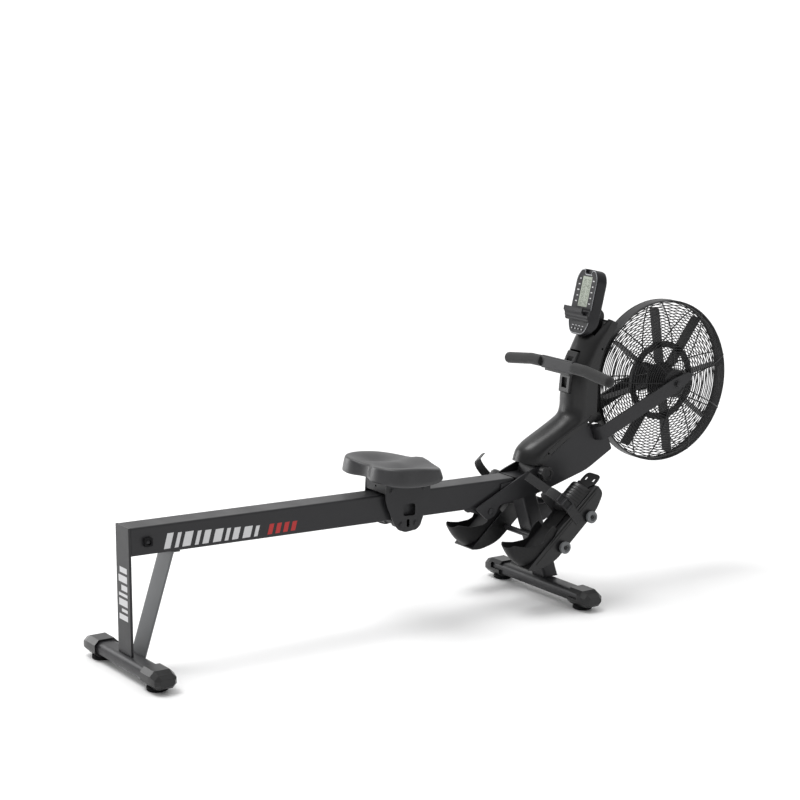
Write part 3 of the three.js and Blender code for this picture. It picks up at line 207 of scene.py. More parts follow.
def sleeve(inner, outer, low, high, centre, segments):
    return lathed([(inner, low), (outer, low), (outer, high), (inner, high)], centre, segments, loop=True)


def curve_through(points, steps=8):
    """A Catmull-Rom curve through points of any size."""
    vectors = [Vector(point) for point in points]
    last = len(vectors) - 1
    result = []
    for i in range(last):
        p0 = vectors[max(i - 1, 0)]
        p1 = vectors[i]
        p2 = vectors[i + 1]
        p3 = vectors[min(i + 2, last)]
        for k in range(steps):
            t = k / steps
            early = 2 * p1 + (p2 - p0) * t + (2 * p0 - 5 * p1 + 4 * p2 - p3) * t * t
            result.append(tuple(0.5 * (early + (3 * p1 - p0 - 3 * p2 + p3) * t ** 3)))
    return result + [tuple(vectors[-1])]


def tube(path, radius, sides=24, closed=False):
    """A round tube along a path; radius is one number or a list with one for each point."""
    path = [Vector(point) for point in path]
    count = len(path)
    radii = radius if isinstance(radius, list) else [radius] * count
    rings = []
    normal = None
    for i, point in enumerate(path):
        before = path[i - 1] if i or closed else path[0]
        after = path[(i + 1) % count] if i + 1 < count or closed else path[-1]
        tangent = (after - before).normalized()
        if normal is None:
            normal = tangent.orthogonal().normalized()
            if abs(tangent.z) < 0.9:
                normal = (Vector((0, 0, 1)) - tangent * tangent.z).normalized()
        normal = (normal - tangent * normal.dot(tangent)).normalized()
        side = tangent.cross(normal)
        rings.append([tuple(point + (normal * a + side * b) * radii[i]) for a, b in circle((0, 0), 1, sides)])
    return looped(rings) if closed else lofted(rings)


def band(path, thick, low, high, axis="x"):
    """A flat strap: a path in the plane square to the axis, as wide as low to high."""
    last = len(path) - 1
    levels = [low + (high - low) * k / 5 for k in range(6)]
    rings = []
    for i, point in enumerate(path):
        along = (Vector(path[min(i + 1, last)]) - Vector(path[max(i - 1, 0)])).normalized()
        offset = Vector((-along[1], along[0])) * thick / 2
        ring = [laid(axis, *(Vector(point) + offset), level) for level in levels]
        ring += [laid(axis, *(Vector(point) - offset), level) for level in reversed(levels)]
        rings.append(ring)
    return lofted(rings)


def hex_head(centre, across, low, high):
    """A six-sided nut, turned a little, with a washer under it."""
    nut = extruded(circle(centre, across / 2, 6, 0.26), low, high)
    return merged(nut, rod(across * 0.72, low, low + 1.2, centre, 28))


def smooth_step(value, low, high):
    t = min(1.0, max(0.0, (value - low) / (high - low)))
    return t * t * (3 - 2 * t)


def bell(value, width):
    return math.exp(-((value / width) ** 2))


# ---- materials
def node(tree, kind, **inputs):
    """A new node; an input's name has an underscore for each space."""
    made = tree.nodes.new(kind)
    for name, value in inputs.items():
        made.inputs[name.replace("_", " ")].default_value = value
    return made


def base_material(name, colour, rough, metal=0.0, coat=0.0, sheen=0.0, gloss=0.5):
    material = bpy.data.materials.new(name)
    material.use_nodes = True
    tree = material.node_tree
    shader = tree.nodes["Principled BSDF"]
    settings = {"Base Color": (*colour, 1), "Roughness": rough, "Metallic": metal, "Coat Weight": coat,
                "Sheen Weight": sheen, "Specular IOR Level": gloss}
    for socket, value in settings.items():
        shader.inputs[socket].default_value = value
    return material, tree, shader, node(tree, "ShaderNodeTexCoord").outputs["Object"]


def noise(tree, where, scale, detail=3, stretch=(1, 1, 1)):
    mapping = node(tree, "ShaderNodeMapping", Scale=stretch)
    tree.links.new(where, mapping.inputs["Vector"])
    made = node(tree, "ShaderNodeTexNoise", Scale=scale, Detail=detail)
    tree.links.new(mapping.outputs["Vector"], made.inputs["Vector"])
    return made.outputs["Fac"]


def ranged(tree, value, low, high, start=0.3, end=0.7):
    """Maps a value that runs from start to end on to low to high."""
    made = node(tree, "ShaderNodeMapRange", From_Min=start, From_Max=end, To_Min=low, To_Max=high)
    tree.links.new(value, made.inputs["Value"])
    return made.outputs["Result"]


def tinted(tree, shader, value, colour, dark, light):
    """Lets a value vary the base colour between a darker and a lighter shade of it."""
    mix = node(tree, "ShaderNodeMix")
    mix.data_type = "RGBA"
    for socket, factor in ((6, dark), (7, light)):
        mix.inputs[socket].default_value = (*(min(1.0, channel * factor) for channel in colour), 1)
    tree.links.new(ranged(tree, value, 0, 1), mix.inputs[0])
    tree.links.new(mix.outputs[2], shader.inputs["Base Color"])


def bump(tree, shader, heights):
    """Chains one bump for each (height value, strength, distance in metres)."""
    last = None
    for height, strength, distance in heights:
        made = node(tree, "ShaderNodeBump", Strength=strength, Distance=distance)
        tree.links.new(height, made.inputs["Height"])
        if last is not None:
            tree.links.new(last, made.inputs["Normal"])
        last = made.outputs["Normal"]
    tree.links.new(last, shader.inputs["Normal"])


def grained(name, colour, rough, grain_mm, depth_mm, vary=0.15, **more):
    """A moulded or coated surface: fine grain, faint cloudiness in its colour and uneven gloss."""
    material, tree, shader, where = base_material(name, colour, rough, **more)
    fine = noise(tree, where, 1 / (grain_mm * MM), 2)
    broad = noise(tree, where, 14, 4)
    tinted(tree, shader, broad, colour, 1 - vary, 1 + vary)
    tree.links.new(ranged(tree, broad, rough - 0.05, rough + 0.05), shader.inputs["Roughness"])
    bump(tree, shader, [(fine, 0.5, depth_mm * MM)])
    return material


def woven(name, colour, pitch_mm):
    """Webbing: fine ribs on all three axes, closest along Y."""
    material, tree, shader, where = base_material(name, colour, 0.85, sheen=0.3)
    heights = []
    for direction, closeness in (("X", 1.0), ("Z", 1.0), ("Y", 1.6)):
        wave = node(tree, "ShaderNodeTexWave", Scale=closeness * 0.32 / (pitch_mm * MM))
        wave.bands_direction = direction
        tree.links.new(where, wave.inputs["Vector"])
        heights.append((wave.outputs["Fac"], 0.4, 0.25 * MM))
    bump(tree, shader, heights)
    tinted(tree, shader, noise(tree, where, 900, 2), colour, 0.7, 1.35)
    return material


def foam_material(name, colour):
    material, tree, shader, where = base_material(name, colour, 0.82, sheen=0.15)
    cells = node(tree, "ShaderNodeTexVoronoi", Scale=1 / (1.1 * MM))
    tree.links.new(where, cells.inputs["Vector"])
    broad = noise(tree, where, 25, 4)
    tinted(tree, shader, broad, colour, 0.85, 1.15)
    bump(tree, shader, [(cells.outputs["Distance"], 0.35, 0.25 * MM), (broad, 0.2, 1 * MM)])
    return material


def brushed(name, colour, rough, stretch):
    material, tree, shader, where = base_material(name, colour, rough, metal=1.0)
    lines = noise(tree, where, 400, 3, stretch)
    tree.links.new(ranged(tree, lines, rough - 0.08, rough + 0.1), shader.inputs["Roughness"])
    tinted(tree, shader, lines, colour, 0.85, 1.0)
    bump(tree, shader, [(lines, 0.2, 0.05 * MM)])
    return material


def plain(name, colour, rough, **more):
    material, tree, shader, where = base_material(name, colour, rough, **more)
    tinted(tree, shader, noise(tree, where, 700, 2), colour, 0.93, 1.05)
    return material


LOOKS = {
    "frame_paint": grained("frame_paint", (0.024, 0.024, 0.026), 0.4, 0.7, 0.06, 0.06, metal=0.2, gloss=0.35),
    "strut_paint": grained("strut_paint", (0.145, 0.15, 0.155), 0.45, 0.7, 0.06, 0.05, metal=0.3, gloss=0.4),
    "moulded_plastic": grained("moulded_plastic", (0.007, 0.007, 0.0075), 0.34, 0.9, 0.06, gloss=0.42),
    "cage_plastic": grained("cage_plastic", (0.014, 0.014, 0.015), 0.42, 0.9, 0.05, gloss=0.3),
    "fan_plastic": grained("fan_plastic", (0.018, 0.018, 0.019), 0.45, 1.2, 0.06, gloss=0.3),
    "pad_rubber": grained("pad_rubber", (0.008, 0.008, 0.009), 0.8, 1.4, 0.15, gloss=0.2),
    "roller_rubber": grained("roller_rubber", (0.014, 0.014, 0.015), 0.45, 1.0, 0.04, gloss=0.3),
    "cup_rubber": grained("cup_rubber", (0.010, 0.010, 0.0105), 0.5, 1.0, 0.1, gloss=0.25),
    "bright_steel": brushed("bright_steel", (0.5, 0.51, 0.52), 0.3, (1, 8, 1)),
    "webbing": woven("webbing", (0.011, 0.011, 0.012), 1.4),
    "grip_foam": foam_material("grip_foam", (0.012, 0.012, 0.0125)),
    "seat_skin": grained("seat_skin", (0.030, 0.030, 0.032), 0.42, 1.6, 0.14, 0.1, gloss=0.6),
    "console_plastic": grained("console_plastic", (0.014, 0.014, 0.016), 0.42, 0.8, 0.05, gloss=0.24),
    "display": plain("display", (0.30, 0.34, 0.27), 0.4, coat=0.2),
    "key_rubber": grained("key_rubber", (0.04, 0.04, 0.043), 0.6, 0.8, 0.05),
}
TRIM = {
    "silver_trim": brushed("silver_trim", (0.45, 0.46, 0.48), 0.3, (8, 1, 8)),
    "printed_mark": plain("printed_mark", (0.62, 0.62, 0.63), 0.55),
    "printed_accent": plain("printed_accent", (0.45, 0.02, 0.02), 0.55),
    "display_segment": plain("display_segment", (0.05, 0.06, 0.045), 0.4),
    # painted shade: a near-black colour laid into hollows and slots for the shade inside them
    "painted_recess_shade": plain("painted_recess_shade", (0.006, 0.006, 0.006), 0.7),
}


# ---- making pieces
def added(name, data):
    """A new object in the scene."""
    made = bpy.data.objects.new(name, data)
    bpy.context.scene.collection.objects.link(made)
    return made


def aimed(made, direction):
    """Points a camera or a lamp along a direction."""
    made.rotation_euler = direction.to_track_quat("-Z", "Y").to_euler()


def applied(piece):
    """Bakes the piece's modifiers into its mesh."""
    graph = bpy.context.evaluated_depsgraph_get()
    mesh = bpy.data.meshes.new_from_object(piece.evaluated_get(graph))
    piece.modifiers.clear()
    old = piece.data
    piece.data = mesh
    bpy.data.meshes.remove(old)
    return piece


def raw(name, shape):
    """A welded mesh in the scene, from a shape in millimetres."""
    mesh = bpy.data.meshes.new(name)
    mesh.from_pydata([place(*point) for point in shape[0]], [], shape[1])
    solid = bmesh.new()
    solid.from_mesh(mesh)
    bmesh.ops.remove_doubles(solid, verts=solid.verts, dist=0.00002)
    bmesh.ops.recalc_face_normals(solid, faces=solid.faces)
    solid.to_mesh(mesh)
    solid.free()
    return added(name, mesh)


def softened(piece, width_mm, segments=2, angle=32):
    modifier = piece.modifiers.new("bevel", "BEVEL")
    modifier.width = width_mm * MM
    modifier.segments = segments
    modifier.limit_method = "ANGLE"
    modifier.angle_limit = math.radians(angle)
    modifier.miter_outer = "MITER_ARC"
    return applied(piece)


def carved(piece, *cutters, operation="DIFFERENCE"):
    """Cuts shapes out of a piece, or keeps only what they share with it."""
    for i, shape in enumerate(cutters):
        cutter = raw(f"{piece.name}_cutter_{i}", shape)
        modifier = piece.modifiers.new("cut", "BOOLEAN")
        modifier.operation = operation
        modifier.solver = "EXACT"
        modifier.object = cutter
        applied(piece)
        bpy.data.objects.remove(cutter)
    return piece


def smoothed(piece, crease):
    for polygon in piece.data.polygons:
        polygon.use_smooth = True
        polygon.material_index = 0
    piece.data.set_sharp_from_angle(angle=math.radians(crease))


def dressed(piece, body, look, nodes=(), crease=32):
    """Gives a piece its material, smooth shading with sharp creases and its body, and hides the CAD nodes it
    stands in for.
    """
    piece.data.materials.clear()
    piece.data.materials.append(LOOKS.get(look) or TRIM[look])
    smoothed(piece, crease)
    even = piece.modifiers.new("even", "WEIGHTED_NORMAL")
    even.keep_sharp = True
    applied(piece)
    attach(piece, body)
    if nodes:
        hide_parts(*nodes)
    return piece


def piece_of(name, shape, body, look, nodes=(), edge=0.0, segments=2, angle=32, crease=32):
    piece = raw(name, shape)
    if edge:
        softened(piece, edge, segments, angle)
    return dressed(piece, body, look, nodes, crease)


def refined(node_name, body, look, edge, segments=2, angle=32, crease=32):
    """A CAD solid carried over with softened edges."""
    piece = added(f"fine_{node_name}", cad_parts[node_name].data.copy())
    solid = bmesh.new()
    solid.from_mesh(piece.data)
    bmesh.ops.remove_doubles(solid, verts=solid.verts, dist=0.00003)
    bmesh.ops.dissolve_limit(solid, angle_limit=math.radians(0.8), verts=solid.verts, edges=solid.edges)
    solid.to_mesh(piece.data)
    solid.free()
    softened(piece, edge, segments, angle)
    return dressed(piece, body, look, [node_name], crease)


# ---- feet
RUBBER = [(0, 0), (27, 0), (30, 2), (30, 4), (28.4, 5), (30, 6), (30, 8), (28.4, 9), (30, 10),
          (29, 12.5), (0, 12.6)]


def foot(prefix, x, tip, body):
    """A bar with two end caps that stand on rubber pads; tip is half the length over the caps."""
    profile = rounded(rectangle(x - 31, x + 31, 18, 58), 20, 8)
    bar = extruded(profile, 24 - tip, tip - 24)
    piece_of(f"{prefix}_bar", bar, body, "frame_paint", [f"{prefix}_foot_bar"])
    for label, side in SIDES:
        refined(f"{prefix}_cap_{label}", body, "moulded_plastic", 3.5, 3, 12, 60)
        rubber = lathed(RUBBER, (x, side * (tip - 63)), 56, "z")
        piece_of(f"{prefix}_rubber_{label}", rubber, body, "pad_rubber", [f"{prefix}_pad_{label}"])


foot("rear", 0, 233, "rail")
# Fills the square notch in the back of each rear cap.
CAP_FILL = [(-20, 35), (-37.9, 35), (-37.9, 50), (-33.9, 54.1), (-20, 54.1)]
piece_of("rear_cap_fillers", both(extruded(CAP_FILL, 141.2, 185.2)), "rail", "moulded_plastic")
foot("front", 1459, 271, "frame")

# ---- rail, rear upright and strut
RAIL_HALF = 40
RAIL_DEEP = 82
refined("rear_upright", "rail", "frame_paint", 1.2)
refined("rear_strut", "rail", "strut_paint", 1.2)


def rail_section(x):
    section = rounded(rectangle(-RAIL_HALF, RAIL_HALF, rail_top(x) - RAIL_DEEP, rail_top(x)), 6, 5)
    return [(x, y, z) for y, z in section]


LUG = [(1132, 324.5), (1132, 318), (1150, 313), (1204, 296), (1219, 291), (1234, 296), (1240, 310),
       (1240, 322)]
LOCK_PLATE = [(1262, 350), (1262, 388), (1330, 392), (1392, 419), (1424, 419), (1424, 396),
              (1380, 388), (1330, 350)]
rail_shape = merged(
    lofted([rail_section(-4), rail_section(1315)]),
    both(extruded(rounded(LUG, 6), 33, 39)),
    extruded(rounded(LOCK_PLATE, 6), -46.5, -41.7),
    block(1266, 1300, -42, -39.5, 352, 386))
piece_of("rail_tube", rail_shape, "rail", "frame_paint", ["rail_beam"], 0.5, 1)

STOP = (46, 385)
STOP_HALF = 12.5
stop_face = rectangle(STOP[0] - STOP_HALF, STOP[0] + STOP_HALF, STOP[1] - STOP_HALF, STOP[1] + STOP_HALF)
stop = raw("rail_stop_blocks", both(extruded(rounded(stop_face, 4, 5), 40.3, 51)))
softened(stop, 1.2)
carved(stop, both(rod(8, 44, 52, STOP, 40)))
dressed(stop, "rail", "pad_rubber", ["rail_stop"])
bolt = lathed([(0, 44), (6, 44), (6, 47), (3, 48), (0, 48)], STOP, 28)
piece_of("rail_stop_bolt", both(bolt), "rail", "frame_paint")


# Printed marks: plain rows of slanted bars and blocks that spell nothing.
def slanted_bar(x, wide, low, high):
    lean = (high - low) * 0.28
    face = [(x, low), (x + wide, low), (x + wide + lean, high), (x + lean, high)]
    return extruded(face, RAIL_HALF, RAIL_HALF + 0.2)


# Each bar's distance along the row and its width.
MARK_BARS = ((0, 20), (34, 12), (58, 26), (98, 12), (122, 20), (156, 26), (194, 12), (218, 20), (252, 26),
             (290, 12))
MARKS_START = 97
white_bars = []
for offset, wide in MARK_BARS:
    top = rail_top(MARKS_START + offset)
    white_bars.append(slanted_bar(MARKS_START + offset, wide, top - 72, top - 28 - offset * 0.045))
red_bars = [slanted_bar(432 + 26 * i, 15, 348.5, 379 - i) for i in range(4)]
piece_of("rail_marks", both(merged(*white_bars)), "rail", "printed_mark")
piece_of("rail_accents", both(merged(*red_bars)), "rail", "printed_accent")
# Each block's foot, its height and the share of the row's width that it takes.
UPRIGHT_BLOCKS = ((157, 16, 1.0), (181, 9, 0.7), (198, 20, 1.0), (226, 9, 1.0), (243, 16, 0.7),
                  (267, 20, 1.0), (295, 16, 0.85))
upright_blocks = [block(-12.2, -12, -25, -25 + 52 * share, z, z + tall) for z, tall, share in UPRIGHT_BLOCKS]
piece_of("upright_marks", merged(*upright_blocks), "rail", "printed_mark")

# ---- seat carriage, rollers and pad
ROLLER_RADIUS = 12
ROLLER_GAP = 0.1
OVER_RAIL = ROLLER_RADIUS + ROLLER_GAP
ROLLERS = (
    ("upper_rear", "roller_ur", 852, rail_top(852) + OVER_RAIL),
    ("upper_front", "roller_uf", 968, rail_top(968) + OVER_RAIL),
    ("lower_rear", "roller_lr", 884, rail_top(884) - RAIL_DEEP - OVER_RAIL),
    ("lower_front", "roller_lf", 936, rail_top(936) - RAIL_DEEP - OVER_RAIL),
)
TREAD = [(4.4, 20), (10.4, 20), (11.7, 20.6), (12, 22), (12, 34), (11.7, 35.4), (10.4, 36), (7.5, 36),
         (7.2, 34.5), (4.4, 34.5)]
refined("seat_carriage", "seat", "frame_paint", 0.7)
nuts = []
for label, body, x, z in ROLLERS:
    nuts.append(both(hex_head((x, z), 13, 57, 60.5)))
    wheel = merged(both(lathed(TREAD, (x, z), 40, loop=True)), sleeve(4.4, 7, -20, 20, (x, z), 24))
    piece_of(f"roller_{label}_wheel", wheel, body, "roller_rubber", [f"roller_{label}"])
piece_of("seat_nuts", merged(*nuts), "seat", "frame_paint", edge=0.6)

PAD_X = 890
PAD_HALF_DEPTH = 121
PAD_HALF_WIDTH = 157
PAD_SQUARENESS = 0.62


def squarer(value, power):
    """Makes a sine or cosine fuller, so that a round outline comes out squarer."""
    return math.copysign(abs(value) ** power, value)


def pad_under(x, y):
    middle = 1 - ((x - PAD_X) / PAD_HALF_DEPTH) ** 2
    return 463 - 0.017 * (x - 770) - 11 * smooth_step(abs(y), 80, 150) * middle


def pad_rim(x, y):
    fall = 30 * smooth_step(x, 760, 1060) ** 2
    middle = 13 * bell(y, 46) * smooth_step(x, 920, 990)
    return 510 - fall + middle - 15 * bell(y, 40) * smooth_step(-x, -840, -790)


def pad_ring(scale, rise, well):
    """One ring of the pad: its size, its share of the way from underside to rim, and how hollow it is."""
    ring = []
    for c, s in circle((0, 0), 1, 96):
        y = PAD_HALF_WIDTH * scale * squarer(s, PAD_SQUARENESS)
        notch = (28 * bell(y, 42) if c < 0 else 0) * min(1, (scale / 0.87) ** 2)
        x = PAD_X + (PAD_HALF_DEPTH * scale - notch) * squarer(c, PAD_SQUARENESS)
        hollow = 20 * bell(abs(y) - 68, 38) * bell(x - 875, 58) + 6 * bell(x - 885, 90) * bell(y, 120)
        low = pad_under(x, y)
        ring.append((x, y, low + (pad_rim(x, y) - low) * rise - hollow * well))
    return ring


PAD_LEVELS = [(0.02, 0, 0), (0.5, 0, 0), (0.94, 0, 0), (0.975, 0.01, 0), (0.995, 0.05, 0), (1, 0.12, 0),
              (0.99, 0.3, 0), (0.975, 0.55, 0), (0.957, 0.8, 0), (0.947, 0.9, 0), (0.93, 0.965, 0),
              (0.905, 0.995, 0.04), (0.87, 1, 0.16), (0.83, 1, 0.42), (0.79, 1, 0.66), (0.74, 1, 0.88)]
PAD_LEVELS += [(scale, 1, 1) for scale in (0.68, 0.6, 0.5, 0.4, 0.3, 0.2, 0.1, 0.02)]
cushion = lofted([pad_ring(*level) for level in PAD_LEVELS])
pad = piece_of("seat_cushion", cushion, "seat", "seat_skin", ["seat_pad"], crease=60)

# ---- main post, hinge pin and front leg
refined("main_post", "frame", "frame_paint", 1.0)
PIN_HALF = [(0, 58.6), (6, 58.4), (8.8, 57.4), (10, 55.8), (10, 53.4), (8, 53.4)]
pin_profile = PIN_HALF + [(radius, -along) for radius, along in reversed(PIN_HALF)]
piece_of("hinge_bolt", lathed(pin_profile, HINGE, 40), "frame", "frame_paint", ["hinge_pin"])


def leg_section(z):
    back = 1364 + 0.325 * (303 - z)
    return [(x, y, z) for x, y in rounded(rectangle(back, back + 55, -34, 34), 8, 5)]


RUNG_ARM = [(1400, 262), (1412, 236), (1492, 268, 20), (1512, 285, 16), (1492, 303, 16), (1404, 300)]
leg = raw("leg_tube", lofted([leg_section(58.3), leg_section(340.6)]))
carved(leg, rod(138, -60, 60, HINGE, 96))
dressed(leg, "frame", "frame_paint", ["front_leg"])
piece_of("leg_arms", both(extruded(rounded(RUNG_ARM, 4), 27, 33)), "frame", "frame_paint", edge=0.8)

# ---- pedals
LOWER_ROD = (1390, 203)
UPPER_ROD = (1492, 285)
ROD_CAP = [(0, 195.4), (15, 195.4), (15, 199), (17, 199.6), (19, 201.4), (19, 209.6), (17.4, 211.6),
           (15, 212), (0, 212)]
CAP_FLARE = [(0, 208.6), (10.5, 208.6), (11.6, 213), (0, 213)]
for level, centre in (("lower", LOWER_ROD), ("upper", UPPER_ROD)):
    piece_of(f"rung_{level}", rod(9, -200, 200, centre, 36), "frame", "frame_paint", [f"pedal_rod_{level}"])
    caps = raw(f"rung_caps_{level}", both(lathed(ROD_CAP, centre, 56)))
    carved(caps, both(lathed(CAP_FLARE, centre, 40)), both(extruded(circle(centre, 8, 6), 204.5, 209)))
    dressed(caps, "frame", "strut_paint")
    # A dark hex plate down in each cap's socket: painted shade in the hollow.
    socket_shades = both(extruded(circle(centre, 6, 6), 208.2, 209.4))
    piece_of(f"rung_sockets_{level}", socket_shades, "frame", "painted_recess_shade")

BOARD = [(-18, 0, 6), (-34, -1, 6), (-12, -26, 30), (50, -60, 40), (268, -58, 30), (322, -34, 26),
         (322, 0, 6)]
BOARD_HOLLOW = [(60, -70), (260, -70), (250, -34), (80, -34)]
LIP = [(0, -6), (318, -6), (318, 5), (120, 5), (104, 0)]
SIDE_PANEL = [(0, -9), (300, -9), (300, -13), (0, -13)]
CUP_HALF = 41
CUP_FRONT = 128
WALL_BACK = 44
HEEL_X = 22


def cup_wall(s):
    if s < 70:
        return 12 + 70 * ((70 - max(s, -12)) / 82) ** 1.7
    return 12 + 12 * math.sin(math.pi * (s - 70) / 80)


def heel_point(angle, reach):
    """A point of the heel's plan, squarer than a half circle: how far along, and the share across."""
    return HEEL_X + reach * squarer(math.cos(angle), 0.85), squarer(math.sin(angle), 0.85)


def heel_points(reach):
    return [heel_point(math.pi / 2 + math.pi * i / 24, reach) for i in range(25)]


def cup_rings():
    """The heel cup's wall: from one open end round the heel to the other."""
    straight = [CUP_FRONT - (CUP_FRONT - WALL_BACK) * i / 14 for i in range(14)]
    stations = [(s, 1.0) for s in straight] + heel_points(50) + [(s, -1.0) for s in reversed(straight)]
    rings = []
    for s, across in stations:
        high = 4 + cup_wall(s)
        turn = min(1.0, max(0.0, (HEEL_X - s) / 50))

        def at(level, thick):
            bulge = 6 * math.sin(math.pi * min(level, high) / high)
            return (s - bulge * turn + thick * turn, (CUP_HALF - thick) * across, level)

        outer = [at(1 + (high - 1) * k / 8, 0.4 if k == 8 else 0) for k in range(9)]
        inner = [at(high - (high - 1) * k / 8, 2.8 if k == 0 else 3) for k in range(9)]
        rings.append(outer + [at(high + 0.6, 1.5)] + inner)
    return lofted(rings)


def cup_floor():
    half = CUP_HALF - 0.6
    heel = [(s, half * across) for s, across in heel_points(49)[1:-1]]
    plan = [(CUP_FRONT, -half), (CUP_FRONT, half), (HEEL_X, half)] + heel + [(HEEL_X, -half)]
    return extruded(plan, 1, 4, "z")


TONGUE = [(123, -20), (306, -20), (318, -37, 10), (356, -34, 30), (356, 34, 30), (318, 37, 10),
          (306, 20), (123, 20)]
TOE_HALF = 43
TOE_UNDER = [(43, 1), (24, 1), (22, 7), (-22, 7), (-24, 1), (-43, 1)]


def toe_pad():
    """The crowned pad over the toes, with grooves across it."""
    stations = [(196, 5), (198, 2), (202, 0.4), (206, 0)]
    for i in range(7):
        start = 210 + 10.4 * i
        stations += [(start, 0), (start + 1.2, 1.6), (start + 4, 1.6), (start + 5.2, 0)]
    stations += [(284, 0), (288, 0.6), (290.5, 2.4), (292, 5)]
    rings = []
    for s, low in stations:
        crown = [-TOE_HALF + 2 * TOE_HALF * k / 24 for k in range(25)]
        ring = [(s, y, 12 + 29 * (1 - (y / TOE_HALF) ** 2) - low) for y in crown]
        rings.append(ring + [(s, y, z) for y, z in TOE_UNDER])
    return lofted(rings)


# The foot strap's arch over the board and its loose tails, seen along the board: Y and the height above it.
STRAP_ARCH = [(197, -34), (197, 6), (196, 40), (186, 66), (168, 86), (147, 94), (124, 92), (106, 76),
              (97.5, 46), (97.5, 8), (97.5, -20)]
STRAP_TAILS = {
    "left": [(196, 40), (203, 64), (206, 92), (200, 120), (180, 150), (150, 170), (129, 179)],
    "right": [(195, 34), (176, 62), (133, 101), (79, 146)],
}


def buckle():
    """A ladder buckle: two rails, three bars between them and a small plate on the middle one."""
    path = curve_through([(200.5, 34), (197, 52), (189.5, 66), (181, 77)])
    rails = [band(path, 6, 184, 188), band(path, 6, 214, 218)]
    bars = [tube([(184, *path[k]), (218, *path[k])], 2.6, 14) for k in (0, 11, 22)]
    return merged(*rails, *bars, band(path[10:16], 3, 188, 214))


for label, side in SIDES:
    board = raw(f"pedal_board_{label}", on_board(extruded(rounded(BOARD, 10), 100, 195), side))
    softened(board, 2.5, 3)
    carved(board, on_board(extruded(BOARD_HOLLOW, 105, 190), side))
    carved(board, on_board(extruded(SIDE_PANEL, 194, 197), side))
    dressed(board, "frame", "moulded_plastic", [f"pedal_base_{label}"])
    lip = on_board(extruded(LIP, 190, 195), side)
    piece_of(f"pedal_lip_{label}", lip, "frame", "moulded_plastic", edge=1.4, segments=3)
    body = f"cup_{label}"
    tongue = raw(f"cup_tongue_{label}", on_board(extruded(rounded(TONGUE, 4), 1, 4, "z"), side, PEDAL_MIDDLE))
    for y in (18, -18):
        hole = extruded(rounded(rectangle(326, 338, y - 4, y + 4), 4), -2, 8, "z")
        carved(tongue, on_board(hole, side, PEDAL_MIDDLE))
    softened(tongue, 0.6, 2)
    dressed(tongue, body, "cup_rubber")
    cup = on_board(merged(cup_rings(), cup_floor()), side, PEDAL_MIDDLE)
    piece_of(f"cup_shell_{label}", cup, body, "cup_rubber", [f"heel_cup_{label}"], crease=50)
    toes = on_board(toe_pad(), side, PEDAL_MIDDLE)
    piece_of(f"toe_pad_{label}", toes, "frame", "moulded_plastic", [f"toe_plate_{label}"], 0.4, 1, 50, 40)
    strap = merged(band(curve_through(STRAP_ARCH), 2.4, 186, 216),
                   band(curve_through(STRAP_TAILS[label]), 2.2, 187, 215))
    piece_of(f"foot_band_{label}", on_board(strap, side), "frame", "webbing", [f"foot_strap_{label}"])
    piece_of(f"foot_buckle_{label}", on_board(buckle(), side), "frame", "frame_paint")

# ---- lock knob
LOBES = 6
knob_outline = []
for a, b in circle((0, 0), 1, 96):
    radius = 22 + 1.6 * math.cos(LOBES * math.atan2(b, a))
    knob_outline.append((KNOB[0] + radius * a, KNOB[1] + radius * b))
knob = raw("lock_knob_grip", extruded(knob_outline, -88, -66))
softened(knob, 2.4, 4, 50)
carved(knob, lathed([(0, -90), (14.5, -90), (13, -85.5), (0, -84.6)], KNOB, 48))
dressed(knob, "knob", "moulded_plastic", ["lock_knob"])
knob_pin = lathed([(0, -63), (5, -63), (5, -49.5), (4, -48.4), (0, -48.4)], KNOB, 24)
piece_of("lock_knob_stem", merged(rod(14, -67, -62.5, KNOB, 36), knob_pin), "knob", "moulded_plastic")

# ---- fan: fork, axle, wheel and cage
FORK_OUTER = 93
AXLE = [(0, -102), (5, -102), (6, -101), (6, 101), (5, 102), (0, 102)]
HUB = [(6.4, -40), (18, -40), (20, -38), (20, -13), (26, -12.4), (60, -12), (60, -8), (26, -7.6), (20, -7),
       (20, 25.5), (18, 25.6), (18, 28), (14, 28), (14, 40), (18, 40), (18, 42.5), (6.4, 42.5)]
BLADE = [(54, -32, 8), (243, -32, 6), (243, 14, 6), (54, 14, 8)]
BLADES = 8
refined("fan_fork", "frame", "frame_paint", 1.5, 3, 40)
spacers = both(sleeve(6, 9, 80.5, 85.7, FAN, 28))
axle_nuts = both(hex_head(FAN, 19, FORK_OUTER + 0.3, FORK_OUTER + 8))
spindle = merged(lathed(AXLE, FAN, 28), spacers, axle_nuts)
piece_of("fan_spindle", spindle, "frame", "frame_paint", ["fan_axle"], 0.5)


def fan_blade(angle):
    c = math.cos(angle)
    s = math.sin(angle)
    points, faces = extruded(rounded(BLADE), -1.5, 1.5, "z")
    return [(FAN[0] + x * c - z * s, y, FAN[1] + x * s + z * c) for x, y, z in points], faces


blades = [fan_blade(math.radians(8 + 360 / BLADES * i)) for i in range(BLADES)]
ring = sleeve(108, 128, -14, -6, FAN, 96)
rotor = merged(lathed(HUB, FAN, 72, loop=True), ring, *blades)
piece_of("fan_rotor", rotor, "fan", "fan_plastic", ["fan_wheel"], 0.5, 1)

CAGE_SEGMENTS = 128
RIM = [(256, -15), (258, -17), (261, -18), (262, -16), (262, 16), (261, 18), (258, 17), (256, 15),
       (258, 14), (258, -14)]
DOME = curve_through([(260, 24), (244, 36), (205, 56), (165, 67), (125, 73), (80, 76.4), (44, 78)], 12)
CENTRE_CAP = [(6.4, 75.5), (44, 75.5), (47, 77), (46, 79.4), (40, 80), (6.4, 80)]
WIRE = 1.5
WIRES = 25
INNERMOST = 50
OUTERMOST = 256
RADIALS = 9


def wire_ring(radius, y):
    return lathed(circle((radius, y), WIRE, 8), FAN, CAGE_SEGMENTS, loop=True)


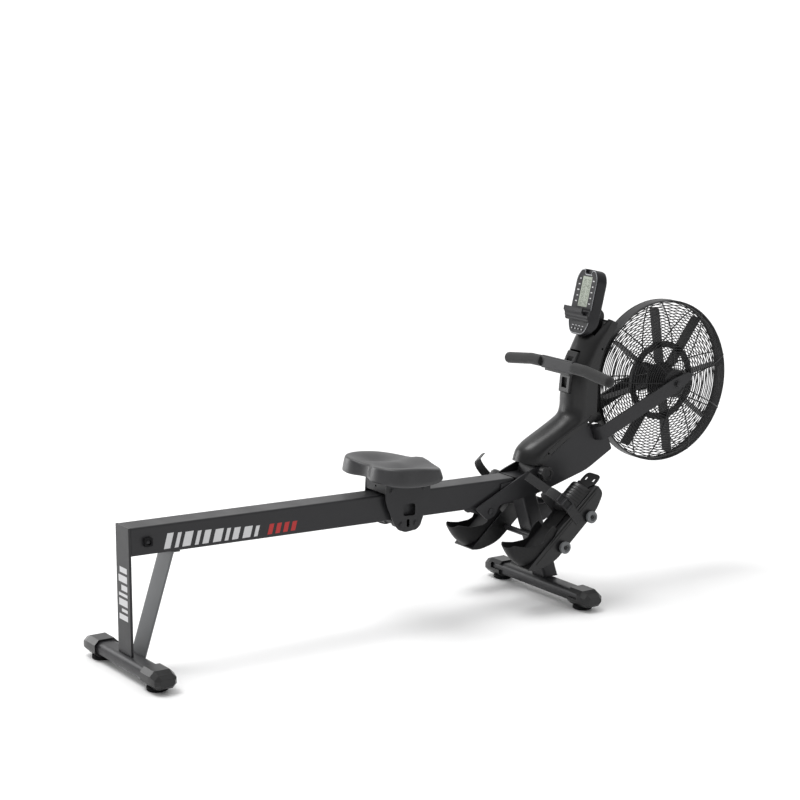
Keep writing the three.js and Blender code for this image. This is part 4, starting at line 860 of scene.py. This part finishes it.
def dome_height(radius):
    for (r1, y1), (r0, y0) in zip(DOME, DOME[1:]):
        if r0 <= radius <= r1:
            return y0 + (y1 - y0) * (radius - r0) / max(r1 - r0, 0.001)
    return DOME[-1][1]


def wire_grille():
    shapes = []
    for i in range(WIRES):
        radius = INNERMOST + (OUTERMOST - INNERMOST) * i / (WIRES - 1)
        shapes.append(wire_ring(radius, dome_height(radius)))
    for i in range(RADIALS):
        angle = math.radians(14 + 360 * i / RADIALS)
        path = [(FAN[0] + r * math.cos(angle), y + 1.8, FAN[1] + r * math.sin(angle)) for r, y in DOME]
        shapes.append(tube(path, 2.0, 8))
    shapes.append(lathed(CENTRE_CAP, FAN, 72, loop=True))
    for radius in (14, 22, 30, 38):
        shapes.append(lathed([(radius - 1.2, 79.8), (radius, 81), (radius + 1.2, 79.8)], FAN, 60, loop=True))
    return merged(*shapes)


edge_wires = [both(wire_ring(260, y)) for y in (19.5, 23.5)]
cage_band = merged(lathed(RIM, FAN, CAGE_SEGMENTS, loop=True), *edge_wires)
piece_of("cage_band", cage_band, "frame", "cage_plastic", ["cage_rim"])
for label, side in SIDES:
    grille = sided(wire_grille(), side)
    piece_of(f"cage_wires_{label}", grille, "frame", "cage_plastic", [f"cage_{label}"], crease=50)

# ---- tower cover
# Each station gives the rear middle, the rear edge and the front edge, as X and Z.
STATIONS = (
    (1353, 440, 1400, 430, 1412, 425), (1364, 473, 1414, 456, 1430, 442), (1386, 493, 1432, 475, 1451, 463),
    (1417, 510, 1454, 489, 1468, 474), (1464, 533, 1492, 510, 1502, 496), (1505, 555, 1536, 532, 1548, 519),
    (1530, 573, 1566, 549, 1590, 536), (1537, 596, 1580, 576, 1624, 551), (1538, 625, 1582, 606, 1626, 595),
    (1541, 660, 1584, 645, 1627, 643), (1546, 692, 1590, 675, 1629, 692), (1559, 734, 1601, 725, 1639, 737),
    (1577, 772, 1624, 770, 1653, 772), (1600, 814, 1648, 806, 1676, 808), (1634, 842, 1668, 834, 1698, 834),
    (1672, 868, 1684, 862, 1704, 852))
STATION_STEPS = 6
OPEN_STATIONS = 7  # below this one the moulding is open underneath
HOLLOW_STATIONS = 12  # above this one it is solid
COVER_WALL = 2.6
SEAM = 0.35
ARC = 36


def cover_ring(station, half, inset=0.0, front_shift=0.0):
    rear = Vector(station[0:2])
    edge = Vector(station[2:4])
    front = Vector(station[4:6])
    depth = (edge - rear).length
    direction = (edge - rear).normalized()
    last = front + (front - edge).normalized() * front_shift
    ring = [(last[0], -half, last[1])]
    for i in range(ARC + 1):
        angle = -math.pi / 2 + math.pi * i / ARC
        point = rear + direction * (inset + (depth - inset) * (1 - math.cos(angle)))
        ring.append((point[0], half * math.sin(angle), point[1]))
    return ring + [(last[0], half, last[1])]


stations = curve_through(STATIONS, STATION_STEPS)
outer_rings = [cover_ring(station, COVER_HALF) for station in stations]
inner_rings = []
for i, station in enumerate(stations[:HOLLOW_STATIONS * STATION_STEPS + 1]):
    front_shift = 12 if i < OPEN_STATIONS * STATION_STEPS else -3
    inner_rings.append(cover_ring(station, COVER_HALF - COVER_WALL, 3.2, front_shift))
nose = [(x - 4, y, z - 16) for x, y, z in inner_rings[0]]
SCOOP = [(1560, 852), (1560, 822), (1618, 822, 8), (1646, 792, 18), (1668, 804, 12), (1697, 846, 8),
         (1690, 900), (1600, 900)]
REST_POCKET = [(1530, 637.7), (1556.3, 637.7), (1561.3, 684), (1577.3, 734), (1590.3, 766.3), (1560, 780.3),
               (1540, 720)]
SCREWS = ((1437, 465), (1594, 545), (1644, 775))
SCREW_HOLE = [(0, COVER_HALF - 4), (2.6, COVER_HALF - 4), (4.2, COVER_HALF + 1), (0, COVER_HALF + 1)]
cover = raw("tower_moulding", lofted(outer_rings))
carved(cover,
       lofted([nose] + inner_rings),
       extruded(rounded(SCOOP, 3, 6), -43, 43),
       block(1600, 1640, 26, 42, 570, 660),
       extruded(REST_POCKET, -25.3, 25.3))
carved(cover, *[both(lathed(SCREW_HOLE, centre, 24)) for centre in SCREWS])
for label, side in SIDES:
    half_cover = added(f"cover_shell_{label}", cover.data.copy())
    carved(half_cover, sided(block(1300, 1760, SEAM / 2, 80, 380, 920), side), operation="INTERSECT")
    softened(half_cover, 0.8, 2, 42)
    dressed(half_cover, "frame", "moulded_plastic", [f"tower_cover_{label}"], 38)
bpy.data.objects.remove(cover)

# The raised crease runs a little above the lower edge; the skirt closes the front under the fork.
crease_points = [(station[4] - 8, station[5] + 13) for station in STATIONS[1:7]] + [(1603, 566)]
ridge = tube([(x, COVER_HALF, z) for x, z in curve_through(crease_points)], 1.3, 10)
piece_of("cover_crease", both(ridge), "frame", "moulded_plastic")
SKIRT = [(1627, 538), (1650, 546), (1650, 562), (1638, 572), (1627, 572)]
piece_of("cover_skirt", extruded(rounded(SKIRT, 3), -52, 52), "frame", "moulded_plastic", edge=1.0)

# ---- handle rest and what turns inside the tower
REST = [(1534, 640), (1552, 640), (1556, 684), (1571, 731), (1584, 764), (1571, 768), (1553, 735),
        (1539, 688)]
GUIDE_EAR = [(1556, 700), (1590, 701), (1590, 717), (1566, 720)]
GUIDE_WHEEL = [(3.4, -14.5), (13.4, -14.5), (14, -14), (14, -13.4), (10.6, -12.6), (10.6, 12.6), (14, 13.4),
               (14, 14), (13.4, 14.5), (3.4, 14.5)]
SPRING_CASE = [(0, -43), (25, -43), (27, -41), (27, -19), (25, -17), (0, -17)]
DRUM = [(5.3, -15), (27, -15), (27, -13), (15, -13), (15, 13), (27, 13), (27, 15), (5.3, 15)]
DRIVE_WHEEL = [(5.3, 16), (12, 16), (12, 26), (31, 26), (31, 28), (28, 28), (28, 40), (5.3, 40)]
rest = raw("rest_block", extruded(rounded(REST, 4), -25, 25))
softened(rest, 1.2)
carved(rest, block(1540, 1600, -13, 13, 734, 752), block(1520, 1580, -13, 13, 655, 688),
       block(1530, 1600, -16, 16, 712, 728))
dressed(rest, "frame", "moulded_plastic", ["handle_rest"])
ears = merged(both(extruded(rounded(GUIDE_EAR, 3), 15.5, 19)), rod(3, -17, 17, GUIDE, 24))
piece_of("rest_ears", ears, "frame", "moulded_plastic", edge=0.5)
# Dark blocks laid in the rest's slots: painted shade inside them.
rest_slot_shade = merged(block(1560, 1575, -12.9, 12.9, 735, 751), block(1545, 1553, -12.9, 12.9, 656, 687))
piece_of("rest_slot_shade", rest_slot_shade, "frame", "painted_recess_shade")
piece_of("guide_wheel", lathed(GUIDE_WHEEL, GUIDE, 48, loop=True), "guide", "fan_plastic", ["guide_pulley"])
spool_axle = merged(rod(5, -49, 49, SPOOL, 32), lathed(SPRING_CASE, SPOOL, 56))
piece_of("spool_axle", spool_axle, "frame", "bright_steel", ["spool_shaft"])
piece_of("spool_drum", lathed(DRUM, SPOOL, 56, loop=True), "spool", "fan_plastic", ["strap_spool"])
piece_of("drive_wheel", lathed(DRIVE_WHEEL, SPOOL, 64, loop=True), "pulley", "fan_plastic", ["drive_pulley"])


def belt_outline(grow):
    """The loop round both pulleys, that much larger than their treads."""
    large = 28 + grow
    small = 14 + grow
    run = Vector(FAN) - Vector(SPOOL)
    heading = math.atan2(run[1], run[0])
    spread = math.acos((large - small) / run.length)
    steps = 32
    shares = [i / steps for i in range(steps + 1)]
    turns = [(SPOOL, large, heading + spread + (2 * math.pi - 2 * spread) * share) for share in shares]
    turns += [(FAN, small, heading - spread + 2 * spread * share) for share in shares]
    return [(x + radius * math.cos(a), z + radius * math.sin(a)) for (x, z), radius, a in turns]


belt_rings = []
for outer, inner in zip(belt_outline(4.5), belt_outline(1)):
    corners = ((outer, 29), (outer, 39), (inner, 39), (inner, 29))
    belt_rings.append([laid("y", *point, y) for point, y in corners])
piece_of("belt", looped(belt_rings), "frame", "webbing", ["drive_belt"])

# ---- handle and pull strap
GRIP_START = 79
GRIP_BEND = 138
GRIP_END = 267
GRIP_DROP = 17
GRIP_RADIUS = 18
TIP_LENGTH = 14


def grip_height(y):
    """The grip's middle line: nearly level up to the bend, then drooping."""
    early = 0.02 * max(0, y - GRIP_START)
    at_bend = 0.02 * (GRIP_BEND - GRIP_START)
    late = at_bend + (GRIP_DROP - at_bend) * (y - GRIP_BEND) / (GRIP_END - GRIP_BEND)
    share = smooth_step(y, GRIP_BEND - 16, GRIP_BEND + 16)
    return HANDLE[1] - early * (1 - share) - late * share


def grip_radius(y):
    from_tip = GRIP_END - y
    if from_tip >= TIP_LENGTH:
        return GRIP_RADIUS
    return max(0.4, GRIP_RADIUS * math.sqrt(1 - ((TIP_LENGTH - from_tip) / TIP_LENGTH) ** 2))


grip_stations = [GRIP_START + 0.6 + 5.8 * i for i in range(30)]
grip_stations += [GRIP_END - TIP_LENGTH + i for i in range(TIP_LENGTH + 1)]
grip_path = [(HANDLE[0], y, grip_height(y)) for y in grip_stations]
grip_radii = [GRIP_RADIUS - 0.8] + [grip_radius(y) for y in grip_stations[1:]]
for label, side in SIDES:
    foam = piece_of(f"foam_grip_{label}", sided(tube(grip_path, grip_radii, 40), side), "handle", "grip_foam",
                    [f"handle_grip_{label}"], crease=60)
plate = rounded(rectangle(HANDLE[0] - 7, HANDLE[0] + 6, HANDLE[1] - 20, HANDLE[1] + 20), 5, 5)
piece_of("handle_plate", extruded(plate, -78.6, 78.6), "handle", "frame_paint", ["handle_bar"], 1.2)
clip = raw("handle_clip", merged(block(HANDLE[0] - 5, HANDLE[0] + 5, -62, 62, HANDLE[1] - 26, HANDLE[1] - 19),
                                 block(HANDLE[0] - 4, HANDLE[0] + 15, -16, 16, 716, 724)))
softened(clip, 1.5, 3)
dressed(clip, "handle", "moulded_plastic")
strap_path = [(1513, 720), (1530, 720), (1545, 720), (1560, 720.3), (1575, 720.8), (1583, 721)]
for i in range(1, 9):
    angle = math.pi / 2 * (1 - i / 8)
    strap_path.append((GUIDE[0] + STRAP_TURN * math.cos(angle), GUIDE[1] + STRAP_TURN * math.sin(angle)))
strap_path += [(1600, 680), (1605, 640), (1607, 610), (1607, 599)]
strap = raw("strap_band", band(strap_path, 2, -12, 12, "y"))
strap.data.materials.append(LOOKS["webbing"])
smoothed(strap, 32)
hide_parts("pull_strap")
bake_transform(strap)

# ---- console
CASE_TOP = 132
CASE_BOTTOM = -76
CASE_HALF = 52
# How far back each ring of the case is, and how far in from the full outline.
CASE_LEVELS = ((0, 2.6), (0.6, 1.2), (2.2, 0.2), (5, 0), (33, 0), (39, 1.2), (42, 4), (43, 7))
BACK_SLOPE = [(17, -80), (44, -34), (52, -20), (52, -80)]
EAR = [(42, 12), (55, 12), (66, -22, 6), (65, -39, 6), (42, -34)]
TRIM_INSET = 3.4


def case_ring(depth, inset):
    half = CASE_HALF - inset
    top = CASE_TOP - inset
    bottom = CASE_BOTTOM + inset
    right = [(half * 0.62, bottom), (half, bottom + 34, 40), (half, top - 26, 40), (half * 0.66, top)]
    return [(depth, y, z) for y, z in rounded(mirrored_outline(right), 16, 8)]


case = raw("console_shell", on_console(lofted([case_ring(*level) for level in CASE_LEVELS])))
carved(case,
       on_console(extruded(BACK_SLOPE, -58, 58)),
       on_console(block(-2, 1.6, -23, 23, 13, 109)),
       on_console(extruded(rounded(rectangle(-13, 13, 118, 140), 5), -2, 7, "x")))
softened(case, 0.5, 1, 50)
hinge = merged(both(extruded(rounded(EAR, 3), 17, 22)), block(42, 45, -22, 22, -34, 12),
               rod(4, -21, 21, (57, -30), 24))
ears = raw("ears", on_console(hinge))
softened(ears, 0.8)
dressed(case, "console", "console_plastic", ["console_case"], 40)
dressed(ears, "console", "console_plastic")

trim_half = [(CASE_HALF * 0.58, CASE_BOTTOM + 3.6), (CASE_HALF - TRIM_INSET, CASE_BOTTOM + 35, 36),
             (CASE_HALF - TRIM_INSET, CASE_TOP - 27, 36), (CASE_HALF * 0.62, CASE_TOP - TRIM_INSET),
             (17, CASE_TOP - TRIM_INSET, 5), (15, CASE_TOP - 17, 6)]
trim_path = [(-0.1, y, z) for y, z in rounded(mirrored_outline(trim_half), 14, 8)]
piece_of("console_trim", on_console(tube(trim_path, 1.1, 8, closed=True)), "console", "silver_trim")
glass = block(1.0, 1.7, -22.8, 22.8, 13.2, 108.8)
piece_of("console_glass", on_console(glass), "console", "display", ["console_screen"])

# The seven bars of a digit: left, low, right and high.
SEGMENTS = {
    "a": (1, 11, 6, 12.2), "b": (5.8, 6.6, 7, 11.4), "c": (5.8, 0.8, 7, 5.6), "d": (1, 0, 6, 1.2),
    "e": (0, 0.8, 1.2, 5.6), "f": (0, 6.6, 1.2, 11.4), "g": (1, 5.5, 6, 6.7),
}
DIGITS = ("abcdef", "bc", "abged", "abgcd", "fgbc", "afgcd", "afgedc", "abc", "abcdefg")


def digit(bars, y, z):
    """Seven-bar digits; they read left to right as the rower sees them, towards the machine's right."""
    shapes = []
    for bar in bars:
        left, low, right, high = SEGMENTS[bar]
        shapes.append(block(0.75, 0.98, y - right, y - left, z + low, z + high))
    return merged(*shapes)


figures = []
for row, z in enumerate((20, 37, 54, 71, 88)):
    for column in range(4):
        figures.append(digit(DIGITS[(row * 3 + column * 2) % len(DIGITS)], 17.5 - 9.4 * column, z))
    figures.append(block(0.75, 0.98, -20, 20, z - 3.2, z - 2.8))
piece_of("console_figures", on_console(merged(*figures)), "console", "display_segment")


def face_mark(left, right, low, high):
    return block(-0.15, 0.05, left, right, low, high)


marks = []
for z, left_wide, right_wide in ((26, 9, 8), (44, 7, 6), (62, 10, 8), (80, 8, 7), (98, 6, 8)):
    marks.append(face_mark(29, 29 + left_wide, z, z + 3.4))
    marks.append(face_mark(-37, -37 + right_wide, z - 3, z + 0.4))
for i in range(5):
    y = 12 - 6.4 * i
    bar = [(y, 112.6), (y - 3.6, 112.6), (y - 5.2, 115.8), (y - 1.6, 115.8)]
    marks.append(extruded(bar, -0.15, 0.05, "x"))
for y, wide in ((24, 8), (8, 6), (-8, 7), (-24, 7)):
    marks.append(face_mark(y - wide / 2, y + wide / 2, -49, -46.8))
piece_of("console_marks", on_console(merged(*marks)), "console", "printed_mark")

SHELF = [(-0.3, 4), (-0.3, -34), (-7, -34), (-11, -30), (-11.5, -25), (-15, -21), (-16, -14), (-20, -9),
         (-24, -6), (-24, 8), (-19, 8), (-19, -2), (-10, -2), (-6, 4)]
shelf = raw("phone_shelf", on_console(extruded(rounded(SHELF, 2, 4), -57, 57)))
carved(shelf, on_console(block(-30, -9, -60, -34, -14, 10)))
softened(shelf, 1.0, 2, 40)
dressed(shelf, "console", "console_plastic", ["device_shelf"], 36)
KEYS = (("reset", 24), ("mode", 8), ("set", -8), ("recovery", -24))
KEY_LEVEL = -58
for label, y in KEYS:
    face = rounded(rectangle(y - 6, y + 6, KEY_LEVEL - 4, KEY_LEVEL + 4), 2.4, 5)
    piece_of(f"key_cap_{label}", on_console(extruded(face, -2, 5, "x")), f"key_{label}", "key_rubber",
             [f"button_{label}"], 0.8, 3)
    spot = extruded(circle((y, KEY_LEVEL), 1.9, 20), -2.2, -1.9, "x")
    piece_of(f"key_spot_{label}", on_console(spot), f"key_{label}", "printed_mark")

NECK = [(1637, 802.6, 1), (1647, 796.9, 4), (1659, 799.6, 1), (1664, 812), (1673, 842), (1682, 868),
        console_point(81, 8), console_point(63, 19), console_point(49, -22), console_point(49, -38),
        (1631, 814, 2)]
neck = extruded(rounded(NECK, 6, 6), -16.5, 16.5)
piece_of("neck_bracket", neck, "frame", "moulded_plastic", ["console_neck"], 1.5, 3)

# ---- camera, light and floor
YAW = 0.58785
PITCH = 0.1985
OVERHEAD_STRENGTH = 1.4
OVERHEAD_SPREAD = math.radians(28)
KEY_SIZE = 1.7
KEY_POWER = 36
KEY_PLACE = Vector((-1.65, 2.95, 1.1))
KEY_AIM = Vector((0.45, 0, 0.65))
FLOOR_REACH = 400000
FLOOR_LEVEL = -0.5
scene = bpy.context.scene
camera = added("camera", bpy.data.cameras.new("camera"))
scene.camera = camera
camera.location = place(-2660.47, -5369.23, 1981.46)
aimed(camera, Vector((math.sin(YAW) * math.cos(PITCH), math.cos(YAW) * math.cos(PITCH), -math.sin(PITCH))))
camera.data.lens = 99.17
camera.data.sensor_width = 36
camera.data.clip_end = 1000


def studio_sky(sky):
    """Brighter overhead, and brighter behind the machine than in front of it."""
    background = sky.nodes["Background"]
    background.inputs["Color"].default_value = (1, 1, 1, 1)
    direction = node(sky, "ShaderNodeTexCoord").outputs["Generated"]
    parts = node(sky, "ShaderNodeSeparateXYZ")
    sky.links.new(direction, parts.inputs["Vector"])
    behind = node(sky, "ShaderNodeVectorMath")
    behind.operation = "DOT_PRODUCT"
    behind.inputs[1].default_value = (math.sin(YAW), math.cos(YAW), 0)
    sky.links.new(direction, behind.inputs[0])
    total = node(sky, "ShaderNodeMath")
    sky.links.new(ranged(sky, parts.outputs["Z"], 0.22, 0.95, 0.15, 0.75), total.inputs[0])
    sky.links.new(ranged(sky, behind.outputs["Value"], 0.0, 0.6, 0.35, 0.9), total.inputs[1])
    sky.links.new(total.outputs["Value"], background.inputs["Strength"])


scene.world = bpy.data.worlds.new("studio")
scene.world.use_nodes = True
studio_sky(scene.world.node_tree)

overhead = added("overhead", bpy.data.lights.new("overhead", "SUN"))
overhead.data.energy = OVERHEAD_STRENGTH
overhead.data.angle = OVERHEAD_SPREAD
aimed(overhead, Vector((0.25, -0.2, -1)))
key_light = added("key", bpy.data.lights.new("key", "AREA"))
key_light.data.shape = "RECTANGLE"
key_light.data.size = KEY_SIZE
key_light.data.size_y = KEY_SIZE
key_light.data.energy = KEY_POWER
key_light.location = KEY_PLACE
aimed(key_light, KEY_AIM - KEY_PLACE)

floor_corners = rectangle(-FLOOR_REACH, FLOOR_REACH, -FLOOR_REACH, FLOOR_REACH)
floor = raw("floor", ([(x, y, FLOOR_LEVEL) for x, y in floor_corners], [[0, 1, 2, 3]]))
floor.data.materials.append(base_material("studio_floor", (0.92, 0.92, 0.92), 0.6)[0])
scene.view_settings.view_transform = "Standard"
scene.view_settings.look = "None"
scene.view_settings.exposure = 0.0
